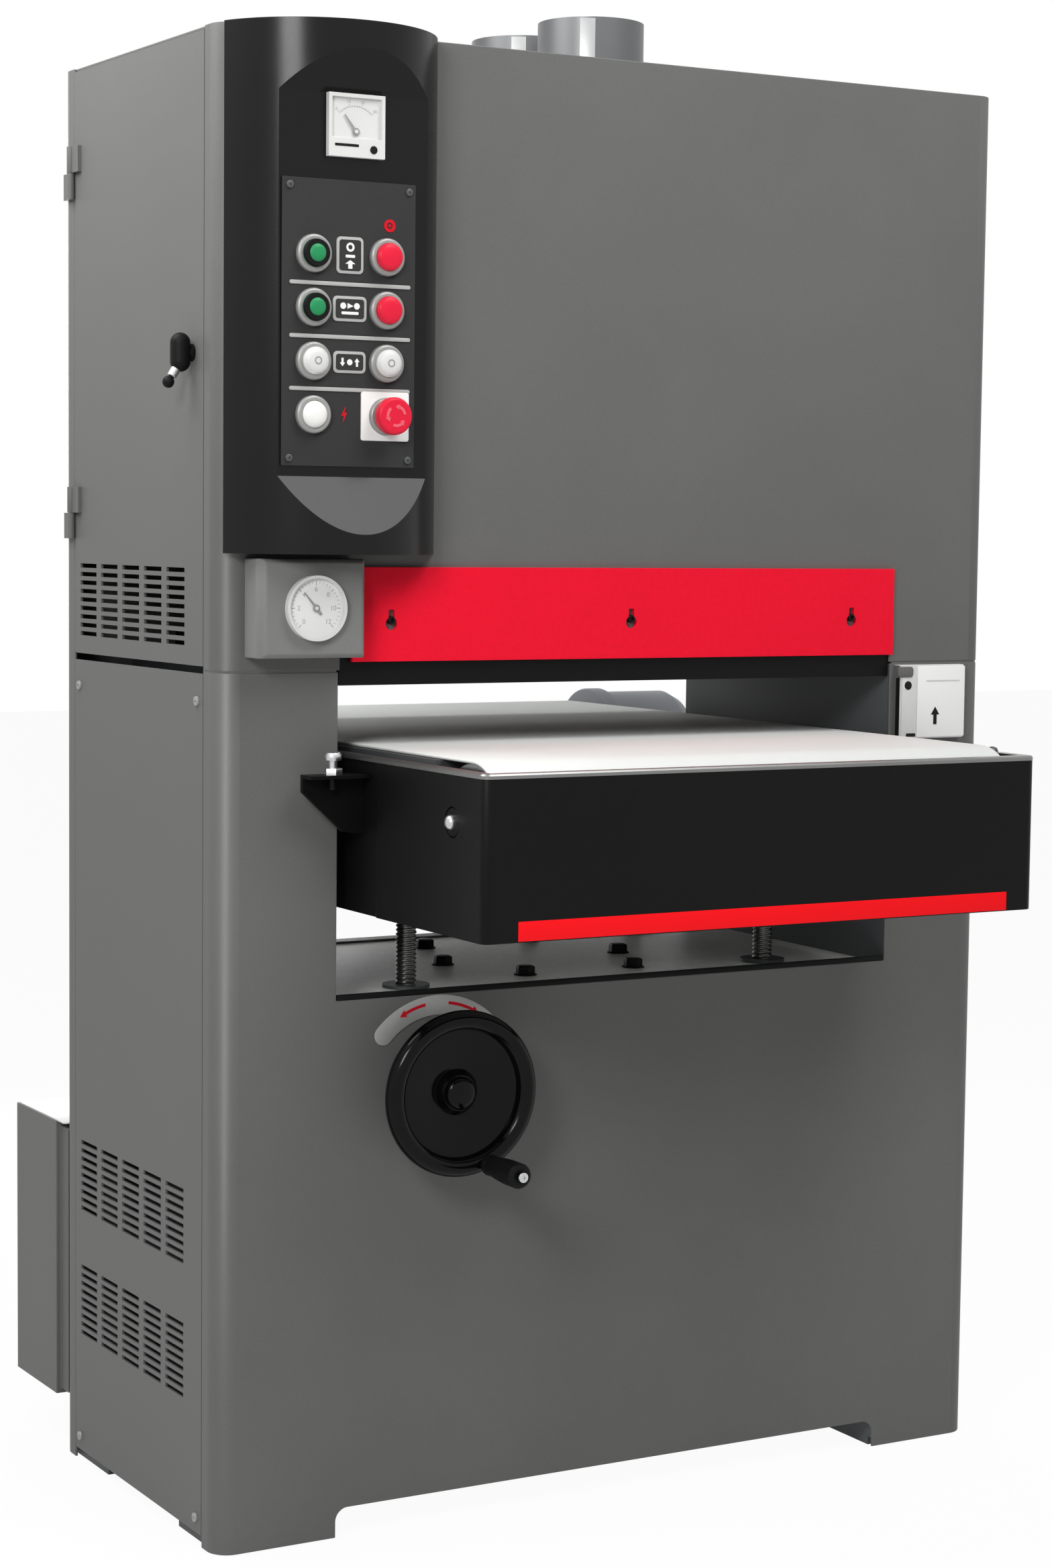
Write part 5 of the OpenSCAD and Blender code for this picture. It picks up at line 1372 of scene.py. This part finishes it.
@dataclass
class Studio:
    """Camera at the photograph's viewpoint, pale floor, white surroundings and soft lights."""

    place: Triple = (-1.8372, -3.2129, 1.1256)
    yaw: float = 29.710
    pitch: float = -4.810
    roll: float = 0.640
    focal_pixels: float = 4558.06
    image_height: int = 2338
    sensor: float = 36.0
    ambient: float = 0.185
    floor_half: float = 14.0
    floor_z: float = -0.0004
    floor_tone: Triple = (254, 254, 254)
    floor_white: float = 0.95
    lamps: Tuple[Lamp, ...] = (
        Lamp("key_light", (0.5, -1.6, 3.4), (0.0, -0.1, 1.3), 1.6, 57.0),
        Lamp("front_light", (-2.45, -2.3, 2.3), (-0.4, -0.2, 1.4), 0.9, 50.0),
        Lamp("left_light", (-1.1, 0.1, 2.25), (-0.5, 0.1, 1.45), 0.9, 18.0),
        Lamp("top_light", (0.3, 0.5, 4.2), (0.0, 0.2, 1.6), 2.0, 14.0),
        Lamp("rear_light", (0.3, 2.3, 1.3), (0.0, 0.1, 0.86), 1.2, 21.0),
        Lamp("strip_light", (-1.27, -0.97, 1.0), (-0.5, -0.2, 0.98), 0.2, 62.0, 1.96,
             ("lower_front_panel", "upper_front_panel")),
    )

    def build(self) -> None:
        """Set up camera, floor, world and lights."""
        self._camera()
        self._floor()
        self._world()
        for lamp in self.lamps:
            lamp.build()
        bpy.context.scene.view_settings.view_transform = "Standard"

    def _camera(self) -> None:
        """Turn the camera by yaw to the right of +Y, by pitch up and by roll about its view."""
        yaw, pitch, roll = (math.radians(v) for v in (self.yaw, self.pitch, self.roll))
        level = math.cos(pitch)
        ahead = Vector((math.sin(yaw) * level, math.cos(yaw) * level, math.sin(pitch)))
        right = Vector((math.cos(yaw), -math.sin(yaw), 0.0))
        up = right.cross(ahead)
        sideways = math.cos(roll) * right + math.sin(roll) * up
        upright = math.cos(roll) * up - math.sin(roll) * right
        data = bpy.data.cameras.new("photograph_view")
        data.sensor_fit, data.sensor_height = "VERTICAL", self.sensor
        data.lens = self.focal_pixels * self.sensor / self.image_height
        thing = bpy.data.objects.new("photograph_view", data)
        basis = Matrix((sideways, upright, -ahead)).transposed().to_4x4()
        thing.matrix_world = Matrix.Translation(self.place) @ basis
        bpy.context.scene.collection.objects.link(thing)
        bpy.context.scene.camera = thing

    @staticmethod
    def _white_in_sight(sheet: NodeSheet, plain: bpy.types.Node, white: bpy.types.Node, share: float,
                        output: str) -> None:
        """Show white to camera, glossy and transmission rays and a plain shader to the rest: the largest of
        those three Light Path values, times a share, mixes the two.

        Args:
            sheet: the node tree.
            plain: the shader that the other rays meet.
            white: the white shader.
            share: how much of the white is taken.
            output: Blender's name of the output node's type.
        """
        path = sheet.add("ShaderNodeLightPath")
        seen = sheet.maths("MAXIMUM", path.outputs["Is Camera Ray"], path.outputs["Is Glossy Ray"])
        seen = sheet.maths("MAXIMUM", seen, path.outputs["Is Transmission Ray"])
        mix = sheet.add("ShaderNodeMixShader")
        sources = (sheet.maths("MULTIPLY", seen, share), plain.outputs[0], white.outputs[0])
        for source, socket in zip(sources, mix.inputs):
            sheet.join(source, socket)
        sheet.join(mix.outputs[0], sheet.add(output).inputs["Surface"])

    def _floor(self) -> None:
        """Lay a large pale floor that reads white and keeps a light shadow."""
        half, z = self.floor_half, self.floor_z
        corners = [(-half, -half, z), (half, -half, z), (half, half, z), (-half, half, z)]
        mesh = bpy.data.meshes.new("floor")
        mesh.from_pydata(corners, [], [[0, 1, 2, 3]])
        pale = bpy.data.materials.new("pale_floor")
        sheet = NodeSheet(pale)
        matt = sheet.add("ShaderNodeBsdfDiffuse", Color=linear(self.floor_tone))
        white = sheet.add("ShaderNodeEmission", Color=WHITE, Strength=1.0)
        self._white_in_sight(sheet, matt, white, self.floor_white, "ShaderNodeOutputMaterial")
        mesh.materials.append(pale)
        floor = bpy.data.objects.new("floor", mesh)
        bpy.context.scene.collection.objects.link(floor)

    def _world(self) -> None:
        """Surround the scene with soft ambient light that looks white to the camera and in reflections."""
        world = bpy.data.worlds.new("white_surround")
        sheet = NodeSheet(world)
        soft = sheet.add("ShaderNodeBackground", Color=WHITE, Strength=self.ambient)
        white = sheet.add("ShaderNodeBackground", Color=WHITE, Strength=1.0)
        self._white_in_sight(sheet, soft, white, 1.0, "ShaderNodeOutputWorld")
        bpy.context.scene.world = world


def main() -> None:
    """Build the studio and every sub-assembly in order."""
    logging.basicConfig(level=logging.INFO, format="%(message)s")
    Studio().build()
    Solids().dress()
    feed = Belting("feed_belting", "feed_belt", "table", Finishes.BELTING, half_width=0.33, thick=0.003,
                   first=(-0.459, 0.822), second=(0.459, 0.822), radii=(0.0595, 0.0595))
    sanding = Belting("sanding_belt", "abrasive_belt", "cabinet", Finishes.ABRASIVE, half_width=0.318,
                      thick=0.0012, first=(0.0, 1.019), second=(0.0, 1.584), radii=(0.0753, 0.0503))
    for part in (feed, sanding, LiftScrews(), Cabinet(), PassagePlate(), ControlPedestal(), Instruments(),
                 FeedTable(), LiftWheel(), DustPorts()):
        part.build()


if __name__ == "__main__":
    main()
